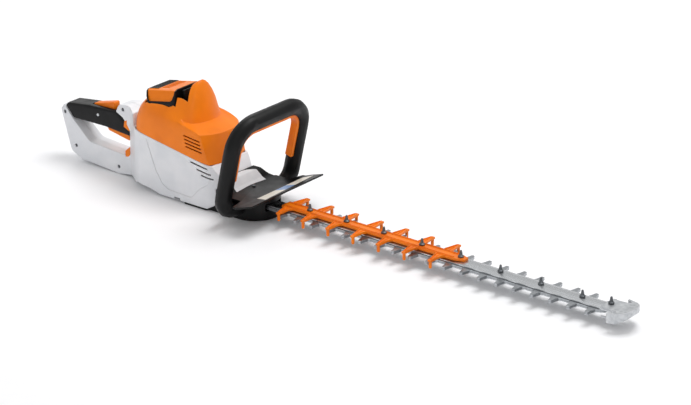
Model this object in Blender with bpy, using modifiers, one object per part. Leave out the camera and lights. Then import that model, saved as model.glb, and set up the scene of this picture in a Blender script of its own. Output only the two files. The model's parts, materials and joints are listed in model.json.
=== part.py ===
"""Battery hedge trimmer with a double-sided reciprocating cutter bar.

Frame: +X forward along the cutter bar, +Y to the operator's left, +Z up, in metres.
The origin is on the floor, on the flat base plate, a little in front of the crank's axis.
Everything in the drive train is placed from the crank's axis backwards, the cutter bar runs
forwards from it, and the rear handle closes the machine at the back.
"""

import math

import bmesh
import bpy
from mathutils import Matrix, Vector

# ---------------------------------------------------------------- driving dimensions
GAP = 0.0004            # air between pieces that rest on each other
WALL = 0.0028           # moulded housing wall
RUNNING = 0.0006        # clearance round anything that turns or slides

# cutter bar
TOOTH_PITCH = 0.0375
TOOTH_COUNT = 19        # teeth on each side of a blade
TOOTH_FIRST = 0.0711    # first tooth on the right-hand side
TOOTH_STAGGER = 0.0120  # how far the left-hand teeth stand forward
TOOTH_REACH = 0.0372    # tooth tip, from the bar's centre line
BLADE_SPINE = 0.0170    # half width of the blade between the teeth
BLADE_T = 0.0026
BLADE_Z = 0.0205        # underside of the lower blade
BAR_HALF = 0.0150       # half width of the guide bar
BAR_EDGE = 0.0020       # its thickness at the edges
BAR_RIDGE_HALF = 0.0060
BAR_T = 0.0045          # its thickness at the ridge
BAR_SCREW_R = 0.0030
BAR_SCREW_HEIGHT = 0.0130
BAR_SCREW_PITCH = 0.0855
BAR_SCREW_COUNT = 9
BAR_SCREW_FIRST = 0.1155
TIP_REACH = 0.0350      # half width over the tip guard's horns
TIP_LENGTH = 0.0372

# bolt-on tooth guard
GUARD_START = 0.0580
GUARD_T = 0.0040
GUARD_HALF = 0.0150
GUARD_WAIST = 0.0115
GUARD_FINGERS = 7
GUARD_PITCH = 0.0577
GUARD_FIRST = 0.0755
GUARD_REACH = 0.0450
GUARD_FINGER_HALF = 0.0036
GUARD_TIP_ROOM = 0.0015     # between the tooth tips and the guard's finger tips
GUARD_TIP_DROP = 0.0020     # how far the finger tips reach below the lower blade
GUARD_NOSE = 0.0480     # how far the guard runs on past its last finger

# drive
DRIVE_X = -0.0150       # the crank's axis
GEAR_MODULE = 0.0015
PINION_TEETH = 10
IDLER_TEETH = 40
CRANK_TEETH = 50
GEAR_T = 0.0055
ECCENTRIC_R = 0.0070
CRANK_SHAFT_R = 0.0055
MOTOR_SHAFT_R = 0.0030
IDLER_AXLE_R = 0.0040
MOTOR_R = 0.0290
MOTOR_HEIGHT = 0.0320
BEARING_T = 0.0050
BEARING_CAP_T = 0.0022
BEARING_WALL = 0.0060

# gear housing and base plate
PLATE_T = 0.0030
GEAR_HOUSING_R = 0.0480
GEAR_HOUSING_TOP = 0.0460
GEAR_HOUSING_BACK = -0.1450
PLATE_STEP = -0.0860    # where the base plate widens to the motor housing

# motor housing
BODY_FLOOR = 0.0034     # underside of the white housing
BODY_HALF = 0.0550      # half width at the seam
SEAM_FRONT = (-0.0760, 0.0890)
SEAM_BACK = (-0.2780, 0.1216)
NECK = (-0.2830, 0.1420)    # top of the white neck behind the hood
HOUSING_ROUND = 0.0050  # rounding of the housing's outer edges
LOOP_HALF = 0.0190      # half width of the rear loop handle
LOOP_FRONT = -0.3120    # front wall of the loop's window
GRIP_HALF = 0.0185
HOUSING_SCREWS = ((-0.4830, 0.0960), (-0.4560, 0.0320), (-0.3440, 0.0150), (-0.3290, 0.1350))
SCREW_R = 0.0017
SCREW_HEAD_R = 0.0034
SCREW_HEAD_T = 0.0026
SCREW_SINK = 0.0020     # depth of a screw head below the surface
BOSS_R = 0.0062
PANEL_SINK = 0.0010     # depth of the sunk panel in each side
PANEL_TOP = 0.0060      # how far the panel's top lies below the seam
WHITE_VENTS = ((-0.1273, 0.0884, 0.042), (-0.1124, 0.0773, 0.034), (-0.1015, 0.0680, 0.028))
VENT_SLOPE = math.radians(7.5)
VENT_HALF = 0.0015      # half height of an air slot
HOOK_SLOT = (-0.1695, -0.1545, 0.0048, 0.0085)     # slot above the floor: x from, x to, z from, z to

# battery, in its own frame: origin at the middle of the lid, z along the way it pulls out
BATTERY_TILT = math.radians(11)
BATTERY_TOP = Vector((-0.2150, 0.0, 0.2065))
BATTERY_LENGTH = 0.0720
BATTERY_WIDTH = 0.0800
BATTERY_DEPTH = 0.1100
LID_LENGTH = 0.0760
LID_WIDTH = 0.0900
LID_T = 0.0300          # from the lid's top to the underside of its skirt
LID_CAP = 0.0040        # the coloured cap's thickness
LID_FLAT = 0.0290       # half width of the lid's level middle
LID_DROP = 0.0200       # how far the lid falls at its sides
WELL_WALL = 0.0020
BATTERY_GAP = 0.0010
LATCH_REACH = 0.0250    # length of the finger pocket between battery and tower
LATCH_HALF = 0.0340
LATCH_DEPTH = 0.0400    # floor of the finger pocket below the lid's top
HOOD_VENTS = 4
HOOD_VENT_FIRST = (-0.1410, 0.1390)
HOOD_VENT_STEP = (0.0014, -0.0071)
HOOD_VENT_LENGTH = 0.0390

# front handle
HANDLE_R = 0.0160
HANDLE_LEAN = math.radians(13)
HANDLE_ORIGIN = Vector((-0.0150, 0.0, 0.0310))
HANDLE_HALF = 0.0975
HANDLE_FOOT_DEPTH = 0.0029  # from the gear housing's top down to the top of the handle's feet
HANDLE_TOP = 0.1740
HANDLE_TOP_CORNER = 0.0480
HANDLE_FOOT_CORNER = 0.0340
SWITCH_BAR_T = 0.0080
SWITCH_BAR_W = 0.0150
SWITCH_BAR_PROUD = 0.0040
SWITCH_BAR_TRAVEL = 0.0035
SWITCH_BAR_LOW = 0.0620

# hand guard
TRAY_T = 0.0034
TRAY_SIDE = 0.0700
FLANGE_HALF = 0.1050
FLANGE_FRONT = 0.0640
FLANGE_RISE = 0.0170

# controls in the rear grip
TRIGGER_PIVOT = (-0.3700, 0.0930)
TRIGGER_HALF = 0.0125
LEVER_PIVOT = (-0.4060, 0.1145)
LEVER_HALF = 0.0080
CONTROL_PIN_R = 0.0020
CONTROL_PIN_HALF = 0.0172
GRIP_SCREW = (-0.3960, 0.1090)
SWITCH_X = (-0.3610, -0.3420)
SWITCH_Z = (0.1030, 0.1110)
SPRING_WIRE = 0.0004

# electronics
HEAT_SINK_X = (-0.2020, -0.1500)
HEAT_SINK_HALF = 0.0300
SINK_PLATE_T = 0.0030
SINK_FINS = 7
SINK_FIN_HEIGHT = 0.0110
BOARD_HALF = 0.0340
BOARD_T = 0.0016
BULKHEAD_X = (-0.3030, -0.3000)
BULKHEAD_HALF = 0.0205

# ---------------------------------------------------------------- derived levels and places
UPPER_BLADE_Z = BLADE_Z + BLADE_T + GAP
BAR_Z = UPPER_BLADE_Z + BLADE_T + GAP
BAR_TOP = BAR_Z + BAR_T
GEAR_Z = BAR_TOP + 0.0035
STROKE = TOOTH_PITCH / 2
ECCENTRICITY = STROKE / 2
CRANK_R = CRANK_TEETH * GEAR_MODULE / 2
IDLER_R = IDLER_TEETH * GEAR_MODULE / 2
PINION_R = PINION_TEETH * GEAR_MODULE / 2
IDLER_X = DRIVE_X - (CRANK_R + IDLER_R)
MOTOR_X = IDLER_X - (IDLER_R + PINION_R)
YOKE_HALF_X = ECCENTRIC_R + STROKE + RUNNING
YOKE_HALF_Y = ECCENTRIC_R + ECCENTRICITY + RUNNING
YOKE_RIM = 0.0040
BLADE_END = TOOTH_FIRST + (TOOTH_COUNT - 1) * TOOTH_PITCH + TOOTH_STAGGER + 0.0100
BAR_END = BLADE_END + STROKE / 2 + 0.0050
TIP_FRONT = BAR_END + 0.0400
GEAR_ROOF = GEAR_HOUSING_TOP - WALL - GAP
GUARD_Z = BAR_TOP + GAP
MOTOR_Z = GEAR_HOUSING_TOP + 0.0110
MOTOR_TOP = MOTOR_Z + MOTOR_HEIGHT
TRAY_Z = GEAR_HOUSING_TOP + GAP
SEAM_SLOPE = (SEAM_BACK[1] - SEAM_FRONT[1]) / (SEAM_BACK[0] - SEAM_FRONT[0])

HANDLE_FOOT = (GEAR_HOUSING_TOP - HANDLE_FOOT_DEPTH - HANDLE_R - HANDLE_ORIGIN.z) / math.cos(HANDLE_LEAN)

PARTS = "hedge_trimmer"
CUTTERS = "cutters"


# ---------------------------------------------------------------- scene and materials
def clear_scene():
    for old in list(bpy.data.objects):
        bpy.data.objects.remove(old, do_unlink=True)
    for name in (PARTS, CUTTERS):
        group = bpy.data.collections.new(name)
        bpy.context.scene.collection.children.link(group)


def material(name, colour, roughness, metallic=0.0):
    made = bpy.data.materials.new(name)
    made.use_nodes = True
    shader = made.node_tree.nodes["Principled BSDF"]
    shader.inputs["Base Color"].default_value = (*colour, 1.0)
    shader.inputs["Roughness"].default_value = roughness
    shader.inputs["Metallic"].default_value = metallic
    made.diffuse_color = (*colour, 1.0)
    return made


def make_materials():
    return {
        "white": material("white_housing", (0.78, 0.79, 0.80), 0.45),
        "orange": material("orange_hood", (0.90, 0.22, 0.01), 0.40),
        "black": material("black_plastic", (0.02, 0.02, 0.022), 0.55),
        "grip": material("black_grip", (0.015, 0.015, 0.016), 0.75),
        "steel": material("blade_steel", (0.60, 0.61, 0.62), 0.35, 1.0),
        "dark": material("dark_steel", (0.25, 0.25, 0.26), 0.40, 1.0),
        "alloy": material("cast_alloy", (0.55, 0.56, 0.57), 0.45, 1.0),
        "board": material("circuit_board", (0.03, 0.16, 0.06), 0.60),
    }


def place(obj, finish, collection=PARTS):
    bpy.data.collections[collection].objects.link(obj)
    if finish:
        obj.data.materials.append(finish)
    return obj


def as_cutter(obj):
    """Takes a solid out of the model and keeps it as a Boolean's operand."""
    for group in list(obj.users_collection):
        group.objects.unlink(obj)
    bpy.data.collections[CUTTERS].objects.link(obj)
    obj.hide_render = True
    obj.display_type = "WIRE"
    return obj


def combine(target, operand, operation="DIFFERENCE"):
    as_cutter(operand)
    change = target.modifiers.new(operation.lower(), "BOOLEAN")
    change.operation = operation
    change.solver = "EXACT"
    change.object = operand
    return target


def cut(target, *operands):
    for operand in operands:
        combine(target, operand, "DIFFERENCE")
    return target


def join(target, *operands):
    for operand in operands:
        combine(target, operand, "UNION")
    return target


# ---------------------------------------------------------------- solid makers
SIDE_VIEW = Matrix.Rotation(math.radians(90), 4, "X")      # drawn in X and Z, thick along Y
END_VIEW = Matrix(((0, 0, 1, 0), (1, 0, 0, 0), (0, 1, 0, 0), (0, 0, 0, 1)))     # drawn in Y and Z
HANDLE_VIEW = Matrix.Translation(HANDLE_ORIGIN) @ Matrix.Rotation(HANDLE_LEAN, 4, "Y") @ END_VIEW
BATTERY_VIEW = Matrix.Translation(BATTERY_TOP) @ Matrix.Rotation(-BATTERY_TILT, 4, "Y")


def mesh_of_curve(curve, name):
    """A welded mesh object made from a curve object, which is removed."""
    bpy.context.scene.collection.objects.link(curve)
    graph = bpy.context.evaluated_depsgraph_get()
    graph.update()
    mesh = bpy.data.meshes.new_from_object(curve.evaluated_get(graph))
    made = bpy.data.objects.new(name, mesh)
    made.matrix_world = curve.matrix_world
    bpy.data.objects.remove(curve, do_unlink=True)
    form = bmesh.new()
    form.from_mesh(mesh)
    bmesh.ops.remove_doubles(form, verts=form.verts, dist=0.00001)
    bmesh.ops.dissolve_limit(form, angle_limit=0.0005, verts=form.verts, edges=form.edges)
    bmesh.ops.recalc_face_normals(form, faces=form.faces)
    form.to_mesh(mesh)
    form.free()
    return made


def flat_solid(name, loops, low, high, finish=None, view=None):
    """A flat outline with any holes, from low to high along the view's third axis."""
    data = bpy.data.curves.new(name, "CURVE")
    data.dimensions = "2D"
    data.fill_mode = "BOTH"
    data.extrude = (high - low) / 2
    for loop in loops:
        spline = data.splines.new("POLY")
        spline.points.add(len(loop) - 1)
        for point, (across, up) in zip(spline.points, loop):
            point.co = (across, up, 0, 1)
        spline.use_cyclic_u = True
    curve = bpy.data.objects.new(name + "_outline", data)
    view = view or Matrix.Identity(4)
    curve.matrix_world = view @ Matrix.Translation((0, 0, (low + high) / 2))
    return place(mesh_of_curve(curve, name), finish)


def box_solid(name, low, high, finish=None, view=None):
    (x0, y0, z0), (x1, y1, z1) = low, high
    form = bmesh.new()
    bmesh.ops.create_cube(form, size=1.0)
    bmesh.ops.scale(form, vec=(x1 - x0, y1 - y0, z1 - z0), verts=form.verts)
    bmesh.ops.translate(form, vec=((x0 + x1) / 2, (y0 + y1) / 2, (z0 + z1) / 2), verts=form.verts)
    mesh = bpy.data.meshes.new(name)
    form.to_mesh(mesh)
    form.free()
    made = bpy.data.objects.new(name, mesh)
    if view:
        made.matrix_world = view
    return place(made, finish)


def turned(name, profile, centre, finish=None, steps=24, axis="Z"):
    """A solid of revolution: profile points (radius, height) run down the outer side."""
    form = bmesh.new()
    points = [form.verts.new((radius, 0, height)) for radius, height in profile]
    for first, second in zip(points, points[1:]):
        form.edges.new((first, second))
    if profile[0][0] > 0:
        form.edges.new((points[-1], points[0]))
    mesh = bpy.data.meshes.new(name)
    form.to_mesh(mesh)
    form.free()
    made = bpy.data.objects.new(name, mesh)
    made.location = centre
    if axis == "Y":
        made.rotation_euler = (math.radians(90), 0, 0)
    spin = made.modifiers.new("turn", "SCREW")
    spin.steps = spin.render_steps = steps
    spin.use_merge_vertices = True
    spin.merge_threshold = 0.00001
    spin.use_smooth_shade = True
    return place(made, finish)


def disc(radius, low, high):
    return [(0, high), (radius, high), (radius, low), (0, low)]


def ring(inner, outer, low, high):
    return [(outer, high), (outer, low), (inner, low), (inner, high)]


def drill(name, radius, centre, low, high, steps=16, axis="Z"):
    """A round cutter from low to high along its axis, through centre."""
    return turned(name, disc(radius, low, high), centre, None, steps, axis)


def solid_from_rings(name, rings, finish=None, ledge=(), corner=()):
    """A smooth closed skin over rings of points, sharp along its first and last ring.

    A ledge is (ring, points from its front, sharpness): an edge that stays crisper than the rest.
    A corner is (ring, point, sharpness): the upright edge from that ring to the next, on both sides."""
    form = bmesh.new()
    crease = form.edges.layers.float.new("crease_edge")
    loops = []
    corners = []
    for points in rings:
        verts = [form.verts.new(point) for point in points]
        corners.append(verts)
        loops.append([form.edges.new((a, b)) for a, b in zip(verts, verts[1:] + verts[:1])])
    for lower, upper in zip(loops, loops[1:]):
        bmesh.ops.bridge_loops(form, edges=lower + upper)
    for end in (loops[0], loops[-1]):
        bmesh.ops.contextual_create(form, geom=end)
        for edge in end:
            edge[crease] = 1.0
    for ring_at, reach, sharpness in ledge:
        for edge in loops[ring_at][:reach] + loops[ring_at][-reach:]:
            edge[crease] = sharpness
    for ring_at, point, sharpness in corner:
        for i in (point, -point):
            form.edges.get((corners[ring_at][i], corners[ring_at + 1][i]))[crease] = sharpness
    bmesh.ops.recalc_face_normals(form, faces=form.faces)
    mesh = bpy.data.meshes.new(name)
    form.to_mesh(mesh)
    form.free()
    made = place(bpy.data.objects.new(name, mesh), finish)
    rounding = made.modifiers.new("rounding", "SUBSURF")
    rounding.levels = rounding.render_levels = 1
    return made


# ---------------------------------------------------------------- outline helpers
def arc(centre, radius, start, end, count):
    """Points on an arc between two angles in degrees."""
    return [
        (
            centre[0] + radius * math.cos(math.radians(start + (end - start) * i / count)),
            centre[1] + radius * math.sin(math.radians(start + (end - start) * i / count)),
        )
        for i in range(count + 1)
    ]


def rounded(corners, count=4):
    """An outline through corners (x, y, fillet radius), each rounded by an arc."""
    points = []
    for i, (x, y, radius) in enumerate(corners):
        here = Vector((x, y))
        before = Vector(corners[i - 1][:2]) - here
        after = Vector(corners[(i + 1) % len(corners)][:2]) - here
        if radius <= 0:
            points.append((x, y))
            continue
        before.normalize()
        after.normalize()
        half = before.angle(after) / 2
        reach = radius / math.tan(half)
        start = here + before * reach
        end = here + after * reach
        middle = here + (before + after).normalized() * (radius / math.sin(half))
        first = start - middle
        sweep = first.angle_signed(end - middle)
        for k in range(count + 1):
            spoke = first.copy()
            spoke.rotate(Matrix.Rotation(-sweep * k / count, 2))
            points.append(tuple(middle + spoke))
    return points


def mirrored(points):
    """A half outline on the positive second axis, closed by its mirror image."""
    return points + [(x, -y) for x, y in reversed(points)]


def slot(centre_x, half_length, radius, count=4):
    """A slotted hole along X."""
    return arc((centre_x + half_length, 0), radius, -90, 90, count) + arc(
        (centre_x - half_length, 0), radius, 90, 270, count
    )


def circle(x, y, radius, count=12):
    return arc((x, y), radius, 0, 360, count)[:-1]


def pivot_at(name, x, y, z):
    """An empty on a joint's axis, for the moving piece to hang on."""
    empty = bpy.data.objects.new(name, None)
    empty.location = (x, y, z)
    empty.empty_display_size = 0.01
    bpy.data.collections[PARTS].objects.link(empty)
    return empty


def hang(pivot, *pieces):
    for piece in pieces:
        piece.parent = pivot
        piece.matrix_parent_inverse = Matrix.Translation(pivot.location).inverted()


def side_solid(name, loop, right, left, finish=None):
    """A side view outline (x, z), from y = right to y = left."""
    return flat_solid(name, [loop], -left, -right, finish, SIDE_VIEW)


def soften(obj, width, degrees=50, segments=2):
    """Rounded edges on a plain solid, made before anything is cut from it."""
    weld = obj.modifiers.new("weld", "WELD")
    weld.merge_threshold = 0.00001
    edge = obj.modifiers.new("edge", "BEVEL")
    edge.width = width
    edge.segments = segments
    edge.limit_method = "ANGLE"
    edge.angle_limit = math.radians(degrees)
    return obj


# ---------------------------------------------------------------- cutter bar
def screw_places():
    """The cutter bar's screws, evenly spaced, with the last one by the tip."""
    places = [BAR_SCREW_FIRST + i * BAR_SCREW_PITCH for i in range(BAR_SCREW_COUNT - 1)]
    places = [x for x in places if x < BAR_END - BAR_SCREW_PITCH / 2]
    return places + [BAR_END - 0.0100]


def teeth(first, side):
    """One edge of a blade: teeth with a narrow tip and round gullets."""
    depth = TOOTH_REACH - BLADE_SPINE
    shape = [(0.0110, 0.0), (0.0072, 0.12), (0.0050, 0.42), (0.0032, 0.94), (0.0022, 1.0)]
    points = []
    for i in range(TOOTH_COUNT):
        middle = first + i * TOOTH_PITCH
        points += [(middle - half, side * (BLADE_SPINE + depth * reach)) for half, reach in shape]
        points += [(middle + half, side * (BLADE_SPINE + depth * reach)) for half, reach in reversed(shape)]
    return points


def blade_outline():
    """The yoke round the crank, then the spine with teeth on both sides."""
    back = DRIVE_X - YOKE_HALF_X - YOKE_RIM
    front = DRIVE_X + YOKE_HALF_X + YOKE_RIM
    side = YOKE_HALF_Y + YOKE_RIM
    left = [(back, side - 0.003), (back + 0.003, side), (front - 0.004, side), (front + 0.004, BLADE_SPINE)]
    left += teeth(TOOTH_FIRST + TOOTH_STAGGER, 1)
    right = [(back, 0.003 - side), (back + 0.003, -side), (front - 0.004, -side), (front + 0.004, -BLADE_SPINE)]
    right += teeth(TOOTH_FIRST, -1)
    nose = [(BLADE_END - 0.004, BLADE_SPINE), (BLADE_END, 0.010), (BLADE_END, -0.010)]
    return left + nose + right[::-1]


def make_blade(name, low, finish):
    window = [
        (DRIVE_X + x * YOKE_HALF_X, y * YOKE_HALF_Y) for x, y in ((-1, 1), (1, 1), (1, -1), (-1, -1))
    ]
    slots = [slot(x, ECCENTRICITY + RUNNING, BAR_SCREW_R + RUNNING) for x in screw_places()[:-1]]
    return flat_solid(name, [blade_outline(), window, *slots], low, low + BLADE_T, finish)


def make_guide_bar(finish):
    """A long bar with a flat-topped ridge, drilled for the screws."""
    start = DRIVE_X + ECCENTRIC_R + STROKE
    half = [(BAR_HALF, 0), (BAR_HALF, BAR_EDGE), (BAR_RIDGE_HALF, BAR_T)]
    section = half + [(-y, z) for y, z in reversed(half)]
    loop = [(y, BAR_Z + z) for y, z in section]
    made = flat_solid("guide_bar", [loop], start, BAR_END, finish, END_VIEW)
    for i, x in enumerate(screw_places()):
        cut(made, drill(f"bar_hole_{i}", BAR_SCREW_R + GAP, (x, 0, 0), BAR_Z - 0.01, BAR_TOP + 0.01, 12))
    return made


def guard_fingers():
    return [GUARD_FIRST + i * GUARD_PITCH for i in range(GUARD_FINGERS)]


def guard_end():
    return guard_fingers()[-1] + GUARD_NOSE


def guard_rib(x, top):
    """One pair of fingers across the spine, each ending in a tip outside the teeth."""
    wide = GUARD_FINGER_HALF
    half = [
        (x - 3.2 * wide, GUARD_WAIST - 0.002), (x - 1.4 * wide, GUARD_HALF + 0.004), (x - wide, GUARD_REACH),
        (x + wide, GUARD_REACH), (x + 1.4 * wide, GUARD_HALF + 0.004), (x + 3.2 * wide, GUARD_WAIST - 0.002),
    ]
    return flat_solid("guard_rib", [mirrored(half)], GUARD_Z + 0.0003, top - 0.0003)


def guard_tip(x, side, top):
    """A round post outside the teeth, with a domed lower end."""
    inner = TOOTH_REACH + GUARD_TIP_ROOM
    outer = GUARD_REACH - GAP
    radius = (outer - inner) / 2
    low = BLADE_Z - GUARD_TIP_DROP
    dome = [(radius, low + 0.6 * radius), (0.7 * radius, low + 0.15 * radius), (0, low)]
    middle = (x, side * (inner + outer) / 2, 0)
    return turned("guard_tip", [(0, top), (radius, top), *dome], middle, None, 10)


def make_blade_guard(finish):
    """The spine lies on the guide bar; each finger turns down outside the tooth tips."""
    top = GUARD_Z + GUARD_T
    half = [
        (GUARD_START, GUARD_WAIST), (guard_end() - 0.020, GUARD_WAIST + 0.001), (guard_end(), GUARD_WAIST * 0.5),
    ]
    made = flat_solid("blade_guard", [mirrored(half)], GUARD_Z, top, finish)
    for x in guard_fingers():
        join(made, guard_rib(x, top))
        for side in (1, -1):
            join(made, guard_tip(x, side, top - 0.0008))
    for x in screw_places():
        if x < guard_end():
            cut(made, drill("guard_hole", BAR_SCREW_R + GAP, (x, 0, 0), GUARD_Z - 0.01, top + 0.01, 12))
    return made


def make_tip_guard(finish):
    """A crescent over the bar's end, with horns beside the last teeth and a raised front lip."""
    horn = TIP_FRONT - TIP_LENGTH
    half = [
        (TIP_FRONT, 0.006), (TIP_FRONT - 0.0030, 0.0150), (TIP_FRONT - 0.0090, 0.0240),
        (TIP_FRONT - 0.0180, 0.0310), (horn, TIP_REACH), (horn + 0.0010, TIP_REACH - 0.0040),
        (TIP_FRONT - 0.0240, 0.0250), (TIP_FRONT - 0.0270, 0.0205), (BAR_END - 0.0180, 0.0190),
    ]
    low = BLADE_Z - 0.0050
    high = BAR_TOP + 0.0040
    side = [
        (BAR_END - 0.03, low), (TIP_FRONT - 0.0220, low), (TIP_FRONT - 0.0080, low + 0.0070),
        (TIP_FRONT + 0.001, low + 0.0190), (TIP_FRONT + 0.001, low + 0.0250), (TIP_FRONT - 0.0080, high + 0.0020),
        (TIP_FRONT - 0.0200, high), (BAR_END - 0.03, high),
    ]
    made = side_solid("tip_guard", side, -0.05, 0.05, finish)
    combine(made, flat_solid("tip_plan", [mirrored(half)], 0.0, 0.06), "INTERSECT")
    throat = TIP_FRONT - 0.0160
    pocket = box_solid("tip_pocket", (0, -0.0178, low - 0.01), (throat - 0.014, 0.0178, BLADE_Z - 0.0012))
    mouth = box_solid(
        "tip_mouth", (0, -BLADE_SPINE - 0.0006, BLADE_Z - 0.0020), (throat, BLADE_SPINE + 0.0006, BAR_TOP + GAP)
    )
    clear = BLADE_END + STROKE / 2 + 0.0115
    tooth_room = box_solid("tip_tooth_room", (0, -0.0215, BLADE_Z - 0.0020), (clear, 0.0215, BAR_TOP + GAP))
    hole = drill("tip_hole", BAR_SCREW_R + GAP, (screw_places()[-1], 0, 0), 0.0, 0.06, 12)
    return cut(made, pocket, mouth, tooth_room, hole)


def make_bar_screws(finish):
    """Upright flanged screws; all but the last have a shoulder and foot under the lower blade."""
    places = screw_places()
    for i, x in enumerate(places):
        last = x == places[-1]
        seat = BAR_TOP + GAP
        if x < guard_end():
            seat = GUARD_Z + GUARD_T + GAP
        if last:
            seat = BAR_TOP + 0.0040 + GAP
        top = seat + BAR_SCREW_HEIGHT
        foot = BLADE_Z - GAP
        wide = BAR_SCREW_R * 1.8
        profile = [
            (0, top), (BAR_SCREW_R * 0.6, top - 0.0004), (BAR_SCREW_R * 0.9, top - 0.0050),
            (BAR_SCREW_R * 1.1, seat + 0.0042), (wide, seat + 0.0026), (wide, seat), (BAR_SCREW_R, seat),
        ]
        if last:
            profile += [(BAR_SCREW_R, BAR_Z + GAP), (0, BAR_Z + GAP)]
        else:
            profile += [(BAR_SCREW_R, foot), (wide, foot), (wide, foot - 0.0020), (0, foot - 0.0020)]
        turned(f"bar_screw_{i + 1}", profile, (x, 0, 0), finish, 10)


# ---------------------------------------------------------------- drive train
def involute(angle):
    return math.tan(angle) - angle


def gear_outline(count, first_tooth):
    """Involute teeth of the shared module, with one tooth centred on first_tooth degrees."""
    pressure = math.radians(25)
    backlash = 0.00018
    pitch_r = count * GEAR_MODULE / 2
    base_r = pitch_r * math.cos(pressure)
    root_r = pitch_r - 1.20 * GEAR_MODULE
    tip_r = pitch_r + 0.90 * GEAR_MODULE
    half_at_pitch = (math.pi * GEAR_MODULE / 2 - backlash) / (2 * pitch_r)
    flank = []
    for radius in (max(root_r, base_r * 1.0005), pitch_r, tip_r):
        angle = math.acos(min(1.0, base_r / radius))
        flank.append((radius, half_at_pitch + involute(pressure) - involute(angle)))
    if root_r < flank[0][0] - 1e-6:
        flank.insert(0, (root_r, flank[0][1]))
    points = []
    for i in range(count):
        middle = math.radians(first_tooth) + 2 * math.pi * i / count
        for radius, half in flank:
            points.append((radius * math.cos(middle - half), radius * math.sin(middle - half)))
        for radius, half in reversed(flank):
            points.append((radius * math.cos(middle + half), radius * math.sin(middle + half)))
    return points


def make_gear(name, count, first_tooth, x, bore, finish):
    outline = gear_outline(count, first_tooth)
    made = flat_solid(name, [outline, circle(0, 0, bore, 16)], GEAR_Z, GEAR_Z + GEAR_T, finish)
    made.location.x = x
    return made


def make_crank(finish):
    """Shaft with two opposed eccentrics, one in each blade's yoke."""
    made = turned("crank_shaft", disc(CRANK_SHAFT_R, PLATE_T + GAP, GEAR_ROOF), (DRIVE_X, 0, 0), finish, 20)
    upper = drill(
        "upper_eccentric", ECCENTRIC_R, (DRIVE_X, ECCENTRICITY, 0), UPPER_BLADE_Z - GAP / 2, GEAR_Z - GAP, 24
    )
    lower = drill(
        "lower_eccentric", ECCENTRIC_R, (DRIVE_X, -ECCENTRICITY, 0), BLADE_Z - 0.001, UPPER_BLADE_Z - GAP / 4, 24
    )
    web = flat_solid(
        "crank_web", [slot(0, ECCENTRICITY, CRANK_SHAFT_R)], UPPER_BLADE_Z - 0.0012, UPPER_BLADE_Z + 0.0006
    )
    web.matrix_world = Matrix.Translation((DRIVE_X, 0, web.location.z)) @ Matrix.Rotation(math.pi / 2, 4, "Z")
    return join(made, upper, lower, web)


def make_motor(mats):
    shaft_hole = MOTOR_SHAFT_R + RUNNING
    foot = GEAR_HOUSING_TOP + GAP
    turned(
        "motor_stator",
        [
            (MOTOR_R - 0.0045, MOTOR_TOP - 0.008), (MOTOR_R - 0.0045, MOTOR_Z + 0.001),
            (MOTOR_R * 0.45, MOTOR_Z + 0.001), (MOTOR_R * 0.45, foot + 0.0035),
            (MOTOR_R * 0.85, foot + 0.0030), (MOTOR_R * 0.85, foot), (shaft_hole, foot),
            (shaft_hole, MOTOR_TOP - 0.008),
        ],
        (MOTOR_X, 0, 0), mats["dark"], 24,
    )
    turned(
        "rotor_bell",
        [
            (MOTOR_R, MOTOR_TOP), (MOTOR_R, MOTOR_Z), (MOTOR_R - 0.003, MOTOR_Z),
            (MOTOR_R - 0.003, MOTOR_TOP - 0.0035), (MOTOR_SHAFT_R + GAP, MOTOR_TOP - 0.0035),
            (MOTOR_SHAFT_R + GAP, MOTOR_TOP),
        ],
        (MOTOR_X, 0, 0), mats["alloy"], 24,
    )
    shaft = disc(MOTOR_SHAFT_R, GEAR_Z - 0.002, MOTOR_TOP + 0.009)
    turned("rotor_shaft", shaft, (MOTOR_X, 0, 0), mats["steel"], 12)
    low = MOTOR_TOP + GAP
    hub = ring(MOTOR_SHAFT_R + GAP, MOTOR_R - 0.001, low, low + 0.0018)
    fan = turned("cooling_fan", hub, (MOTOR_X, 0, 0), mats["black"], 24)
    for i in range(8):
        vane = box_solid(
            f"fan_vane_{i}", (0.012, -0.0008, low + 0.0010), (MOTOR_R - 0.003, 0.0008, low + 0.0080)
        )
        spoke = Matrix.Rotation(math.radians(45 * i + 7), 4, "Z")
        vane.matrix_world = Matrix.Translation((MOTOR_X, 0, 0)) @ spoke
        join(fan, vane)


def make_bearings(mats):
    inner = CRANK_SHAFT_R + GAP
    outer = inner + BEARING_WALL
    low = PLATE_T + GAP
    top_ring = ring(inner, outer, GEAR_ROOF - BEARING_CAP_T, GEAR_ROOF)
    turned("crank_bearing_top", top_ring, (DRIVE_X, 0, 0), mats["steel"], 20)
    turned("crank_bearing_base", ring(inner, outer, low, low + BEARING_T), (DRIVE_X, 0, 0), mats["steel"], 20)
    turned("idler_axle", disc(IDLER_AXLE_R, low, GEAR_ROOF), (IDLER_X, 0, 0), mats["steel"], 16)


def drum_plan(radius, back):
    """Top view of the gear housing: round in front, straight sides, flat back."""
    return arc((DRIVE_X, 0), radius, -90, 90, 14) + [(back, radius), (back, -radius)]


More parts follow.
